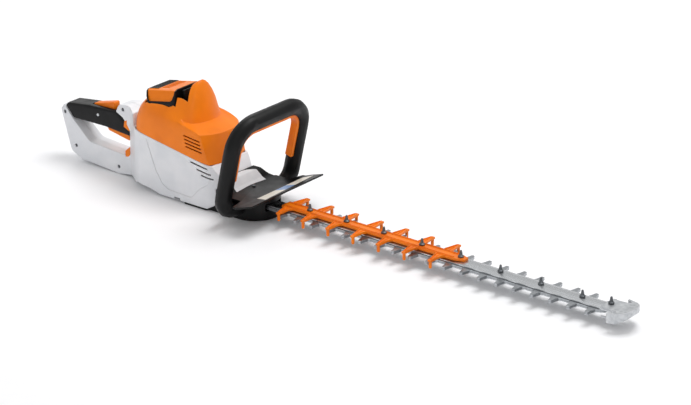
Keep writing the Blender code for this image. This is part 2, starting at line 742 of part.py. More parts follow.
def make_gear_housing(mats):
    outer = drum_plan(GEAR_HOUSING_R, GEAR_HOUSING_BACK)
    made = flat_solid("gear_housing", [outer], PLATE_T + GAP, GEAR_HOUSING_TOP, mats["black"])
    inner = drum_plan(GEAR_HOUSING_R - WALL, GEAR_HOUSING_BACK + WALL)
    cavity = flat_solid("gear_cavity", [inner], PLATE_T - 0.005, GEAR_HOUSING_TOP - WALL)
    wide = YOKE_HALF_Y + YOKE_RIM + 0.0010
    mouth = box_solid(
        "blade_mouth", (DRIVE_X + 0.010, -wide, BLADE_Z - 0.0032),
        (DRIVE_X + GEAR_HOUSING_R + 0.01, wide, BAR_TOP + 0.0006),
    )
    cut(made, cavity, mouth)
    cut(made, drill("rotor_hole", MOTOR_SHAFT_R + RUNNING, (MOTOR_X, 0, 0), 0.03, 0.06))
    cut(made, drill("guard_screw_pilot", SCREW_R + GAP, GUARD_SCREW, -0.004, 0.010))
    half = arc((DRIVE_X, 0), GEAR_HOUSING_R, 0, 90, 7)
    half += [(PLATE_STEP, GEAR_HOUSING_R), (PLATE_STEP - 0.006, BODY_HALF - 0.0010)]
    half += [(GEAR_HOUSING_BACK, BODY_HALF - 0.0010)]
    flat_solid("base_plate", [half + [(x, -y) for x, y in reversed(half[1:])]], 0.0, PLATE_T, mats["black"])


# ---------------------------------------------------------------- motor housing and rear handle
def seam_z(x):
    return SEAM_FRONT[1] + (x - SEAM_FRONT[0]) * SEAM_SLOPE


def housing_corners():
    """Side view of the white housing, clockwise from the nose; each corner with its fillet."""
    return [
        (-0.0720, 0.0130, 0), (-0.0580, 0.0660, 0), (*SEAM_FRONT, 0), (*SEAM_BACK, 0),
        (*NECK, 0.004), (-0.3180, 0.1465, 0.008), (-0.3400, 0.1430, 0.008),
        (-0.3480, 0.1270, 0.003), (-0.3300, 0.1180, 0), (LOOP_FRONT, 0.0960, 0),
        (LOOP_FRONT, 0.0420, 0.010), (-0.4200, 0.0490, 0.020), (-0.4640, 0.0870, 0),
        (-0.4850, 0.1120, 0), (-0.4940, 0.1000, 0.004), (-0.4700, 0.0190, 0.014),
        (-0.4450, 0.0070, 0.012), (-0.3430, 0.0002, 0), (-0.2620, 0.0130, 0),
        (-0.2330, 0.0100, 0), (-0.2050, BODY_FLOOR, 0), (-0.0890, BODY_FLOOR, 0),
    ]


def raised_corners():
    """The side view with a block over the seam, so that rounding the edges leaves the seam sharp."""
    corners = housing_corners()
    top = [(SEAM_FRONT[0], 0.22, 0), (NECK[0], 0.22, 0), (*NECK, 0)]
    return corners[:3] + top + corners[5:]


def grown(corners, distances):
    """Corners with each edge moved inwards by its own distance; edge i ends at corner i + 1."""
    ends = corners[1:] + corners[:1]
    turn = 1 if sum(a[0] * b[1] - b[0] * a[1] for a, b in zip(corners, ends)) > 0 else -1
    lines = []
    for i, here in enumerate(corners):
        start = Vector(here[:2])
        along = (Vector(corners[(i + 1) % len(corners)][:2]) - start).normalized()
        lines.append((start + Vector((-along.y, along.x)) * distances[i] * turn, along))
    moved = []
    for i, corner in enumerate(corners):
        (a, da), (b, db) = lines[i - 1], lines[i]
        step = (b - a).cross(db) / da.cross(db)
        meet = a + da * step
        moved.append((meet.x, meet.y, corner[2]))
    return moved


def housing_cavity():
    """The side view moved in by the wall."""
    corners = housing_corners()
    return rounded([(x, z, max(0, r - WALL)) for x, z, r in grown(corners, [WALL] * len(corners))], 3)


def seam_opening():
    """The opening under the hood, inside the rim that the hood sits on."""
    front = SEAM_FRONT[0] - 1.5 * WALL
    back = SEAM_BACK[0] + 1.5 * WALL
    deep = 2.0 * WALL
    return [
        (front, seam_z(front) - deep), (front, seam_z(front) + 0.02), (back, seam_z(back) + 0.02),
        (back, seam_z(back) - deep),
    ]


def plan_half(reach, handle):
    """Half of the top view, from the nose to the rear handle."""
    return [
        (-0.0300, 0.0), (-0.0300, reach - 0.0200), (-0.0560, reach - 0.0140), (-0.0700, reach - 0.0060),
        (-0.0840, reach - 0.0008), (-0.1000, reach), (-0.2540, reach), (-0.2700, reach - 0.0040),
        (-0.2860, reach - 0.0170), (-0.3000, handle + 0.0080), (-0.3100, handle + 0.0010),
        (-0.3250, handle), (-0.5200, handle), (-0.5200, 0.0),
    ]


def make_housing_half(name, side, finish):
    """One moulded half: side view crossed with top view, hollowed, with bosses and vents."""
    made = side_solid(name, rounded(raised_corners(), 3), -BODY_HALF * 1.3, BODY_HALF * 1.3, finish)
    plan = plan_half(BODY_HALF, LOOP_HALF)[1:-1]
    combine(made, flat_solid(name + "_plan", [mirrored(plan)], -0.02, 0.30), "INTERSECT")
    soften(made, HOUSING_ROUND)
    seam = [(0.01, seam_z(0.01)), SEAM_FRONT, SEAM_BACK, NECK, (NECK[0], 0.30), (0.01, 0.30)]
    cut(made, side_solid(name + "_seam", seam, -0.10, 0.10))
    far = side * BODY_HALF * 1.3
    other = sorted((side * GAP / 2, -far))
    cut(made, box_solid(name + "_other_half", (-0.60, other[0], -0.03), (0.02, other[1], 0.31)))
    for label, loop, wall in (("hollow", housing_cavity(), WALL), ("opening", seam_opening(), 1.2 * WALL)):
        past_joint = -side * (0.01 + wall)
        inner = [(x, side * y) for x, y in plan_half(BODY_HALF - wall, LOOP_HALF - wall)[1:-1]]
        inner = [(-0.0300, past_joint)] + inner + [(-0.5200, past_joint)]
        hollow = side_solid(f"{name}_{label}", loop, *sorted((past_joint, far)))
        combine(hollow, flat_solid(f"{name}_{label}_plan", [inner], -0.02, 0.20), "INTERSECT")
        cut(made, hollow)
    start = -side * 2 * GAP
    reach = -side * (LOOP_HALF - 0.0010)
    for i, (x, z) in enumerate(HOUSING_SCREWS):
        boss = ring(SCREW_R + GAP, BOSS_R, *sorted((start, reach)))
        join(made, turned(f"{name}_boss_{i}", boss, (x, 0, z), None, 12, "Y"))
        if side < 0:
            low = LOOP_HALF - SCREW_SINK - SCREW_HEAD_T - GAP
            head = drill(f"{name}_head_{i}", SCREW_HEAD_R + GAP, (x, 0, z), low, LOOP_HALF + 0.01, 14, "Y")
            cut(made, head)
    envelope = flat_solid(
        name + "_drum_room", [drum_plan(GEAR_HOUSING_R + 2 * GAP, GEAR_HOUSING_BACK - GAP)], -0.01,
        GEAR_HOUSING_TOP + GAP,
    )
    cut(made, envelope, side_panel(name, side), *vents(name, side))
    return made


def slanted_slot(name, x, z, length, side):
    """A cutter for one air slot through a side wall, falling towards the front."""
    low, high = sorted((side * (BODY_HALF - 0.010), side * (BODY_HALF + 0.012)))
    slit = box_solid(name, (0, low, -VENT_HALF), (length, high, VENT_HALF))
    slit.matrix_world = Matrix.Translation((x, 0, z)) @ Matrix.Rotation(VENT_SLOPE, 4, "Y")
    return slit


def vents(name, side):
    """Three slanted air slots below the seam, near the front, and the hook slot by the floor."""
    cuts = [slanted_slot(f"{name}_vent_{i}", *vent, side) for i, vent in enumerate(WHITE_VENTS)]
    back, front, low_z, high_z = HOOK_SLOT
    low, high = sorted((side * (BODY_HALF - 0.006), side * (BODY_HALF + 0.013)))
    return cuts + [box_solid(name + "_hook_slot", (back, low, low_z), (front, high, high_z))]


def side_panel(name, side):
    """A shield-shaped panel sunk into the side, under the seam."""
    low = [(-0.2150, 0.0510), (-0.1990, 0.0270), (-0.1830, 0.0190), (-0.1270, 0.0170), (-0.1040, 0.0400)]
    front = SEAM_FRONT[0] - 0.0080
    shield = [(x, seam_z(x) - PANEL_TOP) for x in (front, -0.2380)] + low + [(front, 0.0540)]
    near, far = sorted((side * (BODY_HALF - PANEL_SINK), side * (BODY_HALF + 0.014)))
    return side_solid(name + "_panel", shield, near, far)


def make_housing_screws(finish):
    for i, (x, z) in enumerate(HOUSING_SCREWS):
        head = LOOP_HALF - SCREW_SINK
        profile = [
            (0, head), (SCREW_HEAD_R, head), (SCREW_HEAD_R, head - SCREW_HEAD_T), (SCREW_R, head - SCREW_HEAD_T),
            (SCREW_R, -0.0100), (0, -0.0100),
        ]
        turned(f"handle_screw_{i + 1}", profile, (x, 0, z), finish, 12, "Y")


# ---------------------------------------------------------------- hood and battery
def hood_ring(points, inner=0.0, lift=0.0):
    """A ring round the hood from its left half, run from front centre to rear centre."""
    middle = -0.170
    half = []
    for x, y, z in points:
        to_middle = 1 if x < middle else -1
        squeeze = inner if abs(x - middle) > 0.05 else inner * abs(x - middle) / 0.05
        half.append((x + to_middle * squeeze, max(y - inner, 0) if y else 0, z + lift))
    return half + [(x, -y, z) for x, y, z in reversed(half[1:-1])]


def hood_levels():
    """Left half of each level, from the front centre round to the rear centre."""
    seam = [
        (-0.0755, 0, 0), (-0.0765, 0.028, 0), (-0.0830, BODY_HALF - 0.003, 0), (-0.1040, BODY_HALF, 0),
        (-0.1350, BODY_HALF, 0), (-0.1750, BODY_HALF, 0), (-0.2150, BODY_HALF, 0), (-0.2540, 0.0548, 0),
        (-0.2700, 0.0500, 0), (-0.2765, 0.028, 0), (-0.2774, 0, 0),
    ]
    seam = [(x, y, seam_z(x) + GAP) for x, y, _ in seam]
    waist = [
        (-0.0770, 0, 0.118), (-0.0775, 0.029, 0.118), (-0.0920, 0.0555, 0.120), (-0.1100, 0.0560, 0.124),
        (-0.1350, 0.0570, 0.128), (-0.1750, 0.0575, 0.133), (-0.2150, 0.0570, 0.137), (-0.2550, 0.0545, 0.138),
        (-0.2720, 0.0470, 0.138), (-0.2785, 0.026, 0.138), (-0.2800, 0, 0.138),
    ]
    shoulder = [
        (-0.0770, 0, 0.148), (-0.0780, 0.028, 0.147), (-0.1020, 0.0555, 0.147), (-0.1130, 0.0564, 0.152),
        (-0.1330, 0.0575, 0.158), (-0.1720, 0.0570, 0.163), (-0.2150, 0.0560, 0.161), (-0.2520, 0.0520, 0.160),
        (-0.2690, 0.041, 0.159), (-0.2760, 0.020, 0.159), (-0.2780, 0, 0.159),
    ]
    foot = [
        (-0.1190, 0, 0.158), (-0.1215, 0.020, 0.157), (-0.1310, 0.0390, 0.157), (-0.1420, 0.0455, 0.159),
        (-0.1550, 0.0490, 0.162), (-0.1780, 0.0515, 0.168), (-0.2150, 0.0525, 0.173), (-0.2470, 0.0490, 0.173),
        (-0.2610, 0.038, 0.172), (-0.2670, 0.019, 0.172), (-0.2690, 0, 0.172),
    ]
    neck = [
        (-0.1260, 0, 0.196), (-0.1275, 0.017, 0.196), (-0.1320, 0.0290, 0.196), (-0.1400, 0.0350, 0.195),
        (-0.1550, 0.0390, 0.192), (-0.1780, 0.0455, 0.186), (-0.2150, 0.0480, 0.182), (-0.2420, 0.0450, 0.180),
        (-0.2550, 0.033, 0.179), (-0.2610, 0.016, 0.179), (-0.2630, 0, 0.179),
    ]
    crown = [
        (-0.1390, 0, 0.230), (-0.1398, 0.008, 0.2295), (-0.1417, 0.0150, 0.228), (-0.1450, 0.0195, 0.225),
        (-0.1560, 0.0235, 0.218), (-0.1750, 0.0310, 0.204), (-0.2150, 0.0370, 0.187), (-0.2360, 0.0340, 0.180),
        (-0.2480, 0.025, 0.178), (-0.2520, 0.013, 0.178), (-0.2530, 0, 0.178),
    ]
    return [seam, waist, shoulder, foot, neck, crown]


HOOD_LEDGE = ((2, 5, 0.90), (3, 4, 0.45))     # the shoulder and the tower's foot stay crisp in front
HOOD_CORNER = ((0, 2, 0.80), (1, 2, 0.80))    # so do the upright corners beside the front wall


def hood_top():
    return [(x + (0.004 if x < -0.17 else -0.005), y * 0.55, z + 0.002) for x, y, z in hood_levels()[-1]]


def battery_box(name, length, width, low, high, finish=None, forward=0.0):
    """A box in the battery's own frame, centred on it, with extra length in front."""
    return box_solid(
        name, (-length / 2, -width / 2, low), (length / 2 + forward, width / 2, high), finish, BATTERY_VIEW
    )


def lid_section(rise, spare=0.0):
    """The lid across the machine: level in the middle, falling at the sides."""
    edge = LID_WIDTH / 2 + spare
    flat = LID_FLAT + spare * 0.5
    drop = LID_DROP + spare * 0.2
    half = [(flat, rise), (flat + 0.006, rise - 0.003), (edge - 0.003, rise - drop), (edge, rise - drop - 0.004)]
    return half


def lid_solid(name, top, bottom, spare, finish=None):
    """A lid-shaped solid in the battery's frame, from the crowned top down to a level."""
    half = lid_section(top, spare)
    loop = half + [(LID_WIDTH / 2 + spare, bottom), (-LID_WIDTH / 2 - spare, bottom)]
    loop += [(-y, z) for y, z in reversed(half)]
    length = LID_LENGTH / 2 + spare
    made = flat_solid(name, [loop], -length - 0.001, length + 0.001, finish, BATTERY_VIEW @ END_VIEW)
    plan = flat_solid(name + "_plan", [lid_plan(spare)], bottom - 0.02, top + 0.02, None, BATTERY_VIEW)
    return combine(made, plan, "INTERSECT")


def lid_plan(spare):
    along = LID_LENGTH / 2 + spare
    across = LID_WIDTH / 2 + spare
    corner = 0.013 + spare
    return rounded([
        (along, across, corner), (-along, across, corner), (-along, -across, corner), (along, -across, corner),
    ], 3)


def make_battery(mats):
    """The pack: a case with a raised black rim, and a coloured cap set into the rim."""
    inlay = -0.0030
    case = battery_box("battery_case", BATTERY_LENGTH, BATTERY_WIDTH, -BATTERY_DEPTH, -LID_T, mats["black"])
    frame = lid_solid("battery_frame", -0.0005, -LID_T, 0.0)
    floor = -LID_T + 0.0010
    cut(frame, flat_solid("frame_hole", [lid_plan(inlay + GAP)], floor, 0.05, None, BATTERY_VIEW))
    join(case, frame, lid_solid("battery_bed", -LID_CAP - GAP, -LID_T - 0.0005, inlay))
    cut(case, battery_box("contact_pocket", 0.026, 0.046, -BATTERY_DEPTH - 0.01, -BATTERY_DEPTH + 0.014))
    cap = lid_solid("battery_lid", 0.0, -LID_T + 0.004, inlay, mats["orange"])
    return case, cut(cap, lid_solid("lid_under", -LID_CAP, -LID_T - 0.01, inlay + 0.0001))


def make_hood(mats):
    levels = [hood_ring(level) for level in hood_levels()] + [hood_ring(hood_top())]
    made = solid_from_rings("hood", levels, mats["orange"], HOOD_LEDGE, HOOD_CORNER)
    hollow_levels = [hood_ring(level, WALL) for level in hood_levels()[:-1]]
    lifted = [(x, y, z - 0.020) for x, y, z in hollow_levels[0]]
    last = [(x, y, z - WALL) for x, y, z in hood_ring(hood_levels()[-1], WALL + 0.001)]
    ledge = [(x, y, z - WALL) for x, y, z in hollow_levels[2]]
    foot = [(x, y, z - WALL * 0.6) for x, y, z in hollow_levels[3]]
    hollow = solid_from_rings(
        "hood_hollow", [lifted, hollow_levels[1], ledge, foot, hollow_levels[4], last], None, HOOD_LEDGE,
        HOOD_CORNER,
    )
    room = 2 * (BATTERY_GAP + WELL_WALL + GAP)
    sleeve = battery_box(
        "well_sleeve", BATTERY_LENGTH + room + 2 * WALL, BATTERY_WIDTH + room + 2 * WALL, -0.20, 0.06
    )
    cut(hollow, sleeve)
    forward = LATCH_REACH + 0.003
    wide = 2 * LATCH_HALF
    deep = -LATCH_DEPTH
    cut(hollow, battery_box(
        "latch_sleeve", BATTERY_LENGTH, wide + 2 * WALL, deep - WALL, 0.06, None, forward + WALL
    ))
    well = battery_box("well_hole", BATTERY_LENGTH + room, BATTERY_WIDTH + room, -0.20, 0.08)
    pocket = battery_box("latch_pocket", BATTERY_LENGTH, wide, deep, 0.08, None, forward)
    cut(made, hollow, well, pocket, lid_solid("lid_room", 0.060, -LID_T - BATTERY_GAP, BATTERY_GAP))
    for side, name in ((1, "left"), (-1, "right")):
        for i in range(HOOD_VENTS):
            x, z = (at + step * i for at, step in zip(HOOD_VENT_FIRST, HOOD_VENT_STEP))
            cut(made, slanted_slot(f"hood_vent_{name}_{i}", x, z, HOOD_VENT_LENGTH, side))
    return made


def make_well(mats):
    """The black shaft that the battery slides into, with the contact block through its floor."""
    floor = -BATTERY_DEPTH - BATTERY_GAP
    room = 2 * BATTERY_GAP
    wall = 2 * WELL_WALL
    rim = -LID_T - BATTERY_GAP - GAP
    made = battery_box(
        "battery_well", BATTERY_LENGTH + room + wall, BATTERY_WIDTH + room + wall, floor - WELL_WALL, rim,
        mats["black"],
    )
    cut(made, battery_box("well_room", BATTERY_LENGTH + room, BATTERY_WIDTH + room, floor, 0.02))
    cut(made, battery_box("contact_hole", 0.022 + 2 * GAP, 0.040 + 2 * GAP, floor - 0.02, floor + 0.01))
    block = battery_box("contact_block", 0.022, 0.040, floor - 0.010, floor + 0.010, mats["dark"])
    for i in (-1, 1):
        y = i * 0.010
        slit = box_solid(
            f"contact_slit_{i}", (-0.02, y - 0.001, floor + 0.003), (0.02, y + 0.001, floor + 0.02), None,
            BATTERY_VIEW,
        )
        cut(block, slit)


LATCH_PIVOT = BATTERY_VIEW @ Vector((BATTERY_LENGTH / 2 + 0.0115, 0, -0.0330))


def make_latch(mats):
    """A lever in the finger pocket: pressed forwards, it frees the battery."""
    start = BATTERY_LENGTH / 2 + BATTERY_GAP + 0.0040
    side = [
        (0.0040, -0.0370), (0.0100, -0.0370), (0.0100, -0.0300), (0.0060, -0.0040), (0.0030, -0.0040),
        (0.0010, -0.0120), (0.0035, -0.0260),
    ]
    profile = [(start + x, z) for x, z in side]
    view = BATTERY_VIEW @ SIDE_VIEW
    lever = flat_solid("battery_latch", [profile], -0.022, 0.022, mats["black"], view)
    hole = turned("latch_bore", disc(CONTROL_PIN_R + GAP, -0.03, 0.03), LATCH_PIVOT, None, 12, "Y")
    cut(lever, hole)
    shaft = disc(CONTROL_PIN_R, -LATCH_HALF + GAP, LATCH_HALF - GAP)
    turned("latch_pin", shaft, LATCH_PIVOT, mats["steel"], 12, "Y")
    hang(pivot_at("latch_pivot", *LATCH_PIVOT), lever)


# ---------------------------------------------------------------- front handle and hand guard
def handle_path():
    half = GEAR_HOUSING_R + GAP * 2
    return rounded([
        (half, HANDLE_FOOT, 0), (HANDLE_HALF, HANDLE_FOOT, HANDLE_FOOT_CORNER),
        (HANDLE_HALF, HANDLE_TOP, HANDLE_TOP_CORNER), (-HANDLE_HALF, HANDLE_TOP, HANDLE_TOP_CORNER),
        (-HANDLE_HALF, HANDLE_FOOT, HANDLE_FOOT_CORNER), (-half, HANDLE_FOOT, 0),
    ], 8)


def bail_band(offset, low):
    """Half of a line inside the handle's path by an offset, from its lower end up to the top."""
    side = HANDLE_HALF - offset
    corner = HANDLE_TOP_CORNER - offset
    turn = arc((side - corner, HANDLE_TOP - offset - corner), corner, 0, 90, 8)
    return [(side, low)] + turn


def band_solid(name, outer, inner, low, half_width, finish=None, lift=0.0):
    """A flat U between two offsets inside the handle's path."""
    first, *turn = bail_band(outer, low)
    outside = [first] + [(y, s + lift) for y, s in turn]
    inside = bail_band(inner, low)
    loop = outside + [(-y, s) for y, s in reversed(outside)]
    loop += [(-y, s) for y, s in inside] + list(reversed(inside))
    return flat_solid(name, [loop], -half_width, half_width, finish, HANDLE_VIEW)


def make_front_handle(mats):
    data = bpy.data.curves.new("front_handle", "CURVE")
    data.dimensions = "3D"
    data.bevel_depth = HANDLE_R
    data.bevel_resolution = 3
    data.use_fill_caps = True
    path = handle_path()
    spline = data.splines.new("POLY")
    spline.points.add(len(path) - 1)
    for point, (across, up) in zip(spline.points, path):
        point.co = (across, up, 0, 1)
    curve = bpy.data.objects.new("handle_tube", data)
    curve.matrix_world = HANDLE_VIEW
    made = place(mesh_of_curve(curve, "front_handle"), mats["grip"])
    groove = band_solid(
        "handle_groove", HANDLE_R - SWITCH_BAR_T + SWITCH_BAR_PROUD - RUNNING, HANDLE_R + 0.010,
        SWITCH_BAR_LOW - RUNNING, SWITCH_BAR_W / 2 + RUNNING, None, SWITCH_BAR_TRAVEL,
    )
    cut(made, groove)
    bar = band_solid(
        "switch_bar", HANDLE_R - SWITCH_BAR_T + SWITCH_BAR_PROUD, HANDLE_R + SWITCH_BAR_PROUD, SWITCH_BAR_LOW,
        SWITCH_BAR_W / 2, mats["orange"],
    )
    for side, name in ((1, "left"), (-1, "right")):
        foot = GEAR_HOUSING_R + 2 * GAP
        axis = HANDLE_ORIGIN + Vector((math.sin(HANDLE_LEAN), 0, math.cos(HANDLE_LEAN))) * HANDLE_FOOT
        low, high = sorted((-side * (foot - 0.005), -side * (foot + 0.030)))
        cut(made, drill(f"bolt_bore_{name}", 0.0030 + GAP, axis, low, high, 12, "Y"))
        low, high = sorted((-side * (foot + GAP), -side * (foot + 0.028)))
        turned(f"handle_bolt_{name}", disc(0.0030, low, high), axis, mats["steel"], 12, "Y")
    return made, bar


GUARD_SCREW = (-0.0190, 0.0, TRAY_Z)


def tray_side(thick):
    """The hand guard's section: rear upstand, floor on the gear housing, rising front flange."""
    floor = TRAY_Z
    top = [
        (-0.0545, floor + 0.0210), (-0.0440, floor + 0.0170), (-0.0320, floor + 0.0040), (-0.0260, floor),
        (FLANGE_FRONT - 0.0420, floor), (FLANGE_FRONT, floor + FLANGE_RISE - TRAY_T),
    ]
    return top + [(x, z + thick) for x, z in reversed(top)]


def make_hand_guard(mats):
    made = side_solid("hand_guard", tray_side(TRAY_T), -0.13, 0.13, mats["black"])
    half = [
        (FLANGE_FRONT + 0.01, FLANGE_HALF - 0.003), (0.0360, FLANGE_HALF), (0.0160, FLANGE_HALF - 0.004),
        (0.0090, TRAY_SIDE), (-0.0230, TRAY_SIDE), (-0.0360, TRAY_SIDE - 0.014), (-0.0600, TRAY_SIDE - 0.034),
    ]
    combine(made, flat_solid("tray_plan", [mirrored(half)], 0.0, 0.2), "INTERSECT")
    cut(made, drill("guard_screw_hole", SCREW_R + GAP, GUARD_SCREW, -0.01, 0.03))
    seat = TRAY_T + GAP
    profile = [
        (0, seat + 0.0022), (SCREW_HEAD_R, seat + 0.0018), (SCREW_HEAD_R, seat), (SCREW_R, seat),
        (SCREW_R, -0.0034), (0, -0.0034),
    ]
    x, y, z = GUARD_SCREW
    turned("guard_screw", profile, GUARD_SCREW, mats["dark"], 12)
    return made


# ---------------------------------------------------------------- rear grip and controls
def grip_side():
    gap = 0.0005
    return [
        (-0.4840 + gap, 0.1110), (-0.4740, 0.1170), (-0.4200, 0.1240), (-0.3490 - gap, 0.1265),
        (-0.3312 - gap, 0.1172), (LOOP_FRONT - gap - 0.0008, 0.0945), (LOOP_FRONT - gap, 0.0830),
        (-0.3780, 0.0880), (-0.4625, 0.0870),
    ]


def make_grip(mats):
    made = soften(side_solid("rear_grip", grip_side(), -GRIP_HALF, GRIP_HALF, mats["grip"]), 0.0045)
    corners = [(x, z, 0) for x, z in grip_side()]
    hollow = [(x, z) for x, z, _ in grown(corners, [WALL + 0.001] * len(corners))]
    cut(made, side_solid("grip_hollow", hollow, -GRIP_HALF + WALL, GRIP_HALF - WALL))
    wide = TRIGGER_HALF + RUNNING
    cut(made, box_solid("trigger_slot", (-0.3800, -wide, 0.060), (LOOP_FRONT + 0.01, wide, 0.0990)))
    wide = LEVER_HALF + RUNNING
    cut(made, box_solid("lever_slot", (-0.4190, -wide, 0.1160), (-0.3570, wide, 0.1500)))
    for name, (x, z) in (("trigger", TRIGGER_PIVOT), ("lever", LEVER_PIVOT)):
        reach = CONTROL_PIN_HALF + GAP / 2
        cut(made, drill(f"{name}_pin_bore", CONTROL_PIN_R + GAP, (x, 0, z), -reach, reach, 12, "Y"))
    at = (GRIP_SCREW[0], 0, GRIP_SCREW[1])
    seat = GRIP_HALF - 0.0013
    end = GRIP_HALF - 0.0085
    cut(made, drill("grip_screw_bore", SCREW_HEAD_R + GAP, at, seat, GRIP_HALF + 0.01, 12, "Y"))
    cut(made, drill("grip_screw_hole", SCREW_R + GAP, at, end, GRIP_HALF + 0.01, 12, "Y"))
    head = GRIP_HALF + 0.0003
    under = seat + GAP
    profile = [
        (0, head), (SCREW_HEAD_R - 0.0008, head), (SCREW_HEAD_R, head - 0.0008), (SCREW_HEAD_R, under),
        (SCREW_R, under), (SCREW_R, end), (0, end),
    ]
    turned("grip_screw", profile, at, mats["steel"], 12, "Y")
    return made


def coil(name, centre, radius, y_low, y_high, turns, finish):
    """A torsion spring's coil round a pin that runs along Y."""
    data = bpy.data.curves.new(name, "CURVE")
    data.dimensions = "3D"
    data.bevel_depth = SPRING_WIRE
    data.bevel_resolution = 1
    data.use_fill_caps = True
    steps = 8 * turns
    spline = data.splines.new("POLY")
    spline.points.add(steps)
    for i, point in enumerate(spline.points):
        angle = 2 * math.pi * turns * i / steps
        y = y_low + (y_high - y_low) * i / steps
        point.co = (centre[0] + radius * math.cos(angle), y, centre[1] + radius * math.sin(angle), 1)
    return place(mesh_of_curve(bpy.data.objects.new(name + "_wire", data), name), finish)


def make_controls(mats):
    trigger = side_solid(
        "trigger",
        [
            (-0.3772, 0.0845), (-0.3740, 0.0805), (-0.3220, 0.0715), (-0.3175, 0.0750), (-0.3230, 0.0880),
            (-0.3600, 0.0985), (-0.3740, 0.0985),
        ],
        -TRIGGER_HALF, TRIGGER_HALF, mats["orange"],
    )
    soften(trigger, 0.0015, 50, 1)
    lever = side_solid(
        "lockout_lever",
        [
            (-0.4115, 0.1150), (-0.4150, 0.1260), (-0.3640, 0.1390), (-0.3610, 0.1380), (-0.3600, 0.1270),
            (-0.3630, 0.1170), (-0.4060, 0.1100),
        ],
        -LEVER_HALF, LEVER_HALF, mats["orange"],
    )
    soften(lever, 0.0012, 50, 1)
    x, z = TRIGGER_PIVOT
    near = (x - 0.009, LEVER_HALF + 0.0004, z - 0.0058)
    cut(trigger, box_solid("spring_notch", near, (x + 0.006, 0.02, z + 0.02)))
    for piece, name, (x, z) in ((trigger, "trigger", TRIGGER_PIVOT), (lever, "lever", LEVER_PIVOT)):
        cut(piece, drill(f"{name}_bore", CONTROL_PIN_R + GAP, (x, 0, z), -0.03, 0.03, 12, "Y"))
        shaft = disc(CONTROL_PIN_R, -CONTROL_PIN_HALF, CONTROL_PIN_HALF)
        turned(f"{name}_pin", shaft, (x, 0, z), mats["steel"], 12, "Y")
        hang(pivot_at(f"{name}_pivot", x, 0, z), piece)
        start = LEVER_HALF + 0.0012
        coil(f"{name}_spring", (x, z), CONTROL_PIN_R + 0.0012, start, start + 0.0032, 3, mats["steel"])
    wide = GRIP_HALF - WALL - GAP
    (back, front), (low, high) = SWITCH_X, SWITCH_Z
    box_solid("trigger_switch", (back, -wide, low), (front, wide, high), mats["dark"])


def make_electronics(mats):
    """Heat sink on the housing's floor with the controller on it, and the bulkhead before the loop."""
    back, front = HEAT_SINK_X
    floor = BODY_FLOOR + WALL + GAP
    plate = floor + SINK_FIN_HEIGHT
    wide = HEAT_SINK_HALF
    sink = box_solid("heat_sink", (back, -wide, plate), (front, wide, plate + SINK_PLATE_T), mats["alloy"])
    step = 2 * 0.9 * wide / (SINK_FINS - 1)
    for i in range(SINK_FINS):
        y = -0.9 * wide + i * step
        join(sink, box_solid(f"sink_fin_{i}", (back, y - 0.0009, floor), (front, y + 0.0009, plate + 0.0005)))
    board = plate + SINK_PLATE_T + GAP
    wide = BOARD_HALF
    box_solid("controller_board", (back, -wide, board), (front, wide, board + BOARD_T), mats["board"])
    (back, front), roof = BULKHEAD_X, NECK[1] - WALL - 0.0020
    box_solid("rear_bulkhead", (back, -BULKHEAD_HALF, 0.0110), (front, BULKHEAD_HALF, roof), mats["orange"])


def main():
    clear_scene()
    mats = make_materials()
    upper = make_blade("upper_blade", UPPER_BLADE_Z, mats["steel"])
    lower = make_blade("lower_blade", BLADE_Z, mats["steel"])
    make_guide_bar(mats["steel"])
    make_blade_guard(mats["orange"])
    make_tip_guard(mats["alloy"])
    make_bar_screws(mats["dark"])
    make_gear("crank_gear", CRANK_TEETH, 180, DRIVE_X, CRANK_SHAFT_R + GAP, mats["dark"])
    make_gear("idler_gear", IDLER_TEETH, 180 / IDLER_TEETH, IDLER_X, IDLER_AXLE_R + GAP, mats["dark"])
    make_gear("motor_pinion", PINION_TEETH, 0, MOTOR_X, MOTOR_SHAFT_R + GAP, mats["steel"])
    make_crank(mats["steel"])
    make_motor(mats)
    make_bearings(mats)
    make_gear_housing(mats)
    make_housing_half("housing_right", -1, mats["white"])
    make_housing_half("housing_left", 1, mats["white"])
    make_housing_screws(mats["dark"])
    make_hood(mats)
    make_battery(mats)
    make_well(mats)
    make_latch(mats)
    make_front_handle(mats)
    make_hand_guard(mats)
    make_grip(mats)
    make_controls(mats)
    make_electronics(mats)
    hang(pivot_at("blade_guide", DRIVE_X, 0, BLADE_Z), upper, lower)


main()
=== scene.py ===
"""Looks of the battery hedge trimmer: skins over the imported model, detail pieces, finishes and light."""
import json
import math

import bmesh
import bpy
from mathutils import Matrix, Vector
from mathutils.bvhtree import BVHTree


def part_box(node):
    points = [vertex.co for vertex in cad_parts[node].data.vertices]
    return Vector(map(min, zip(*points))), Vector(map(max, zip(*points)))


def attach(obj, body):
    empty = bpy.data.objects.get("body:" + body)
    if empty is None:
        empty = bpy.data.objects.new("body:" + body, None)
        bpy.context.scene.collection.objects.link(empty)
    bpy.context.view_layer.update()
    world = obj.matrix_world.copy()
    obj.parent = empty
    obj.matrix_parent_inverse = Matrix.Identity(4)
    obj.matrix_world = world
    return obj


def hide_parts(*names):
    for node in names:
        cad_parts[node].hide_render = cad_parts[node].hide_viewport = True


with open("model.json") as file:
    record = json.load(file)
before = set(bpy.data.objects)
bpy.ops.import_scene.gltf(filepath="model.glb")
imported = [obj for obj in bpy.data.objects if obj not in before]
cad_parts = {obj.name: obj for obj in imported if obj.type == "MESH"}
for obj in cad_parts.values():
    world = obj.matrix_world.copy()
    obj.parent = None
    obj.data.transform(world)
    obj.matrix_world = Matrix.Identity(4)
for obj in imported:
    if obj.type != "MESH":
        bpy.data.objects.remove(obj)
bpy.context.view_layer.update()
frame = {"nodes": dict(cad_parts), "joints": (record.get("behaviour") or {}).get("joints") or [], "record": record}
MM = 0.001
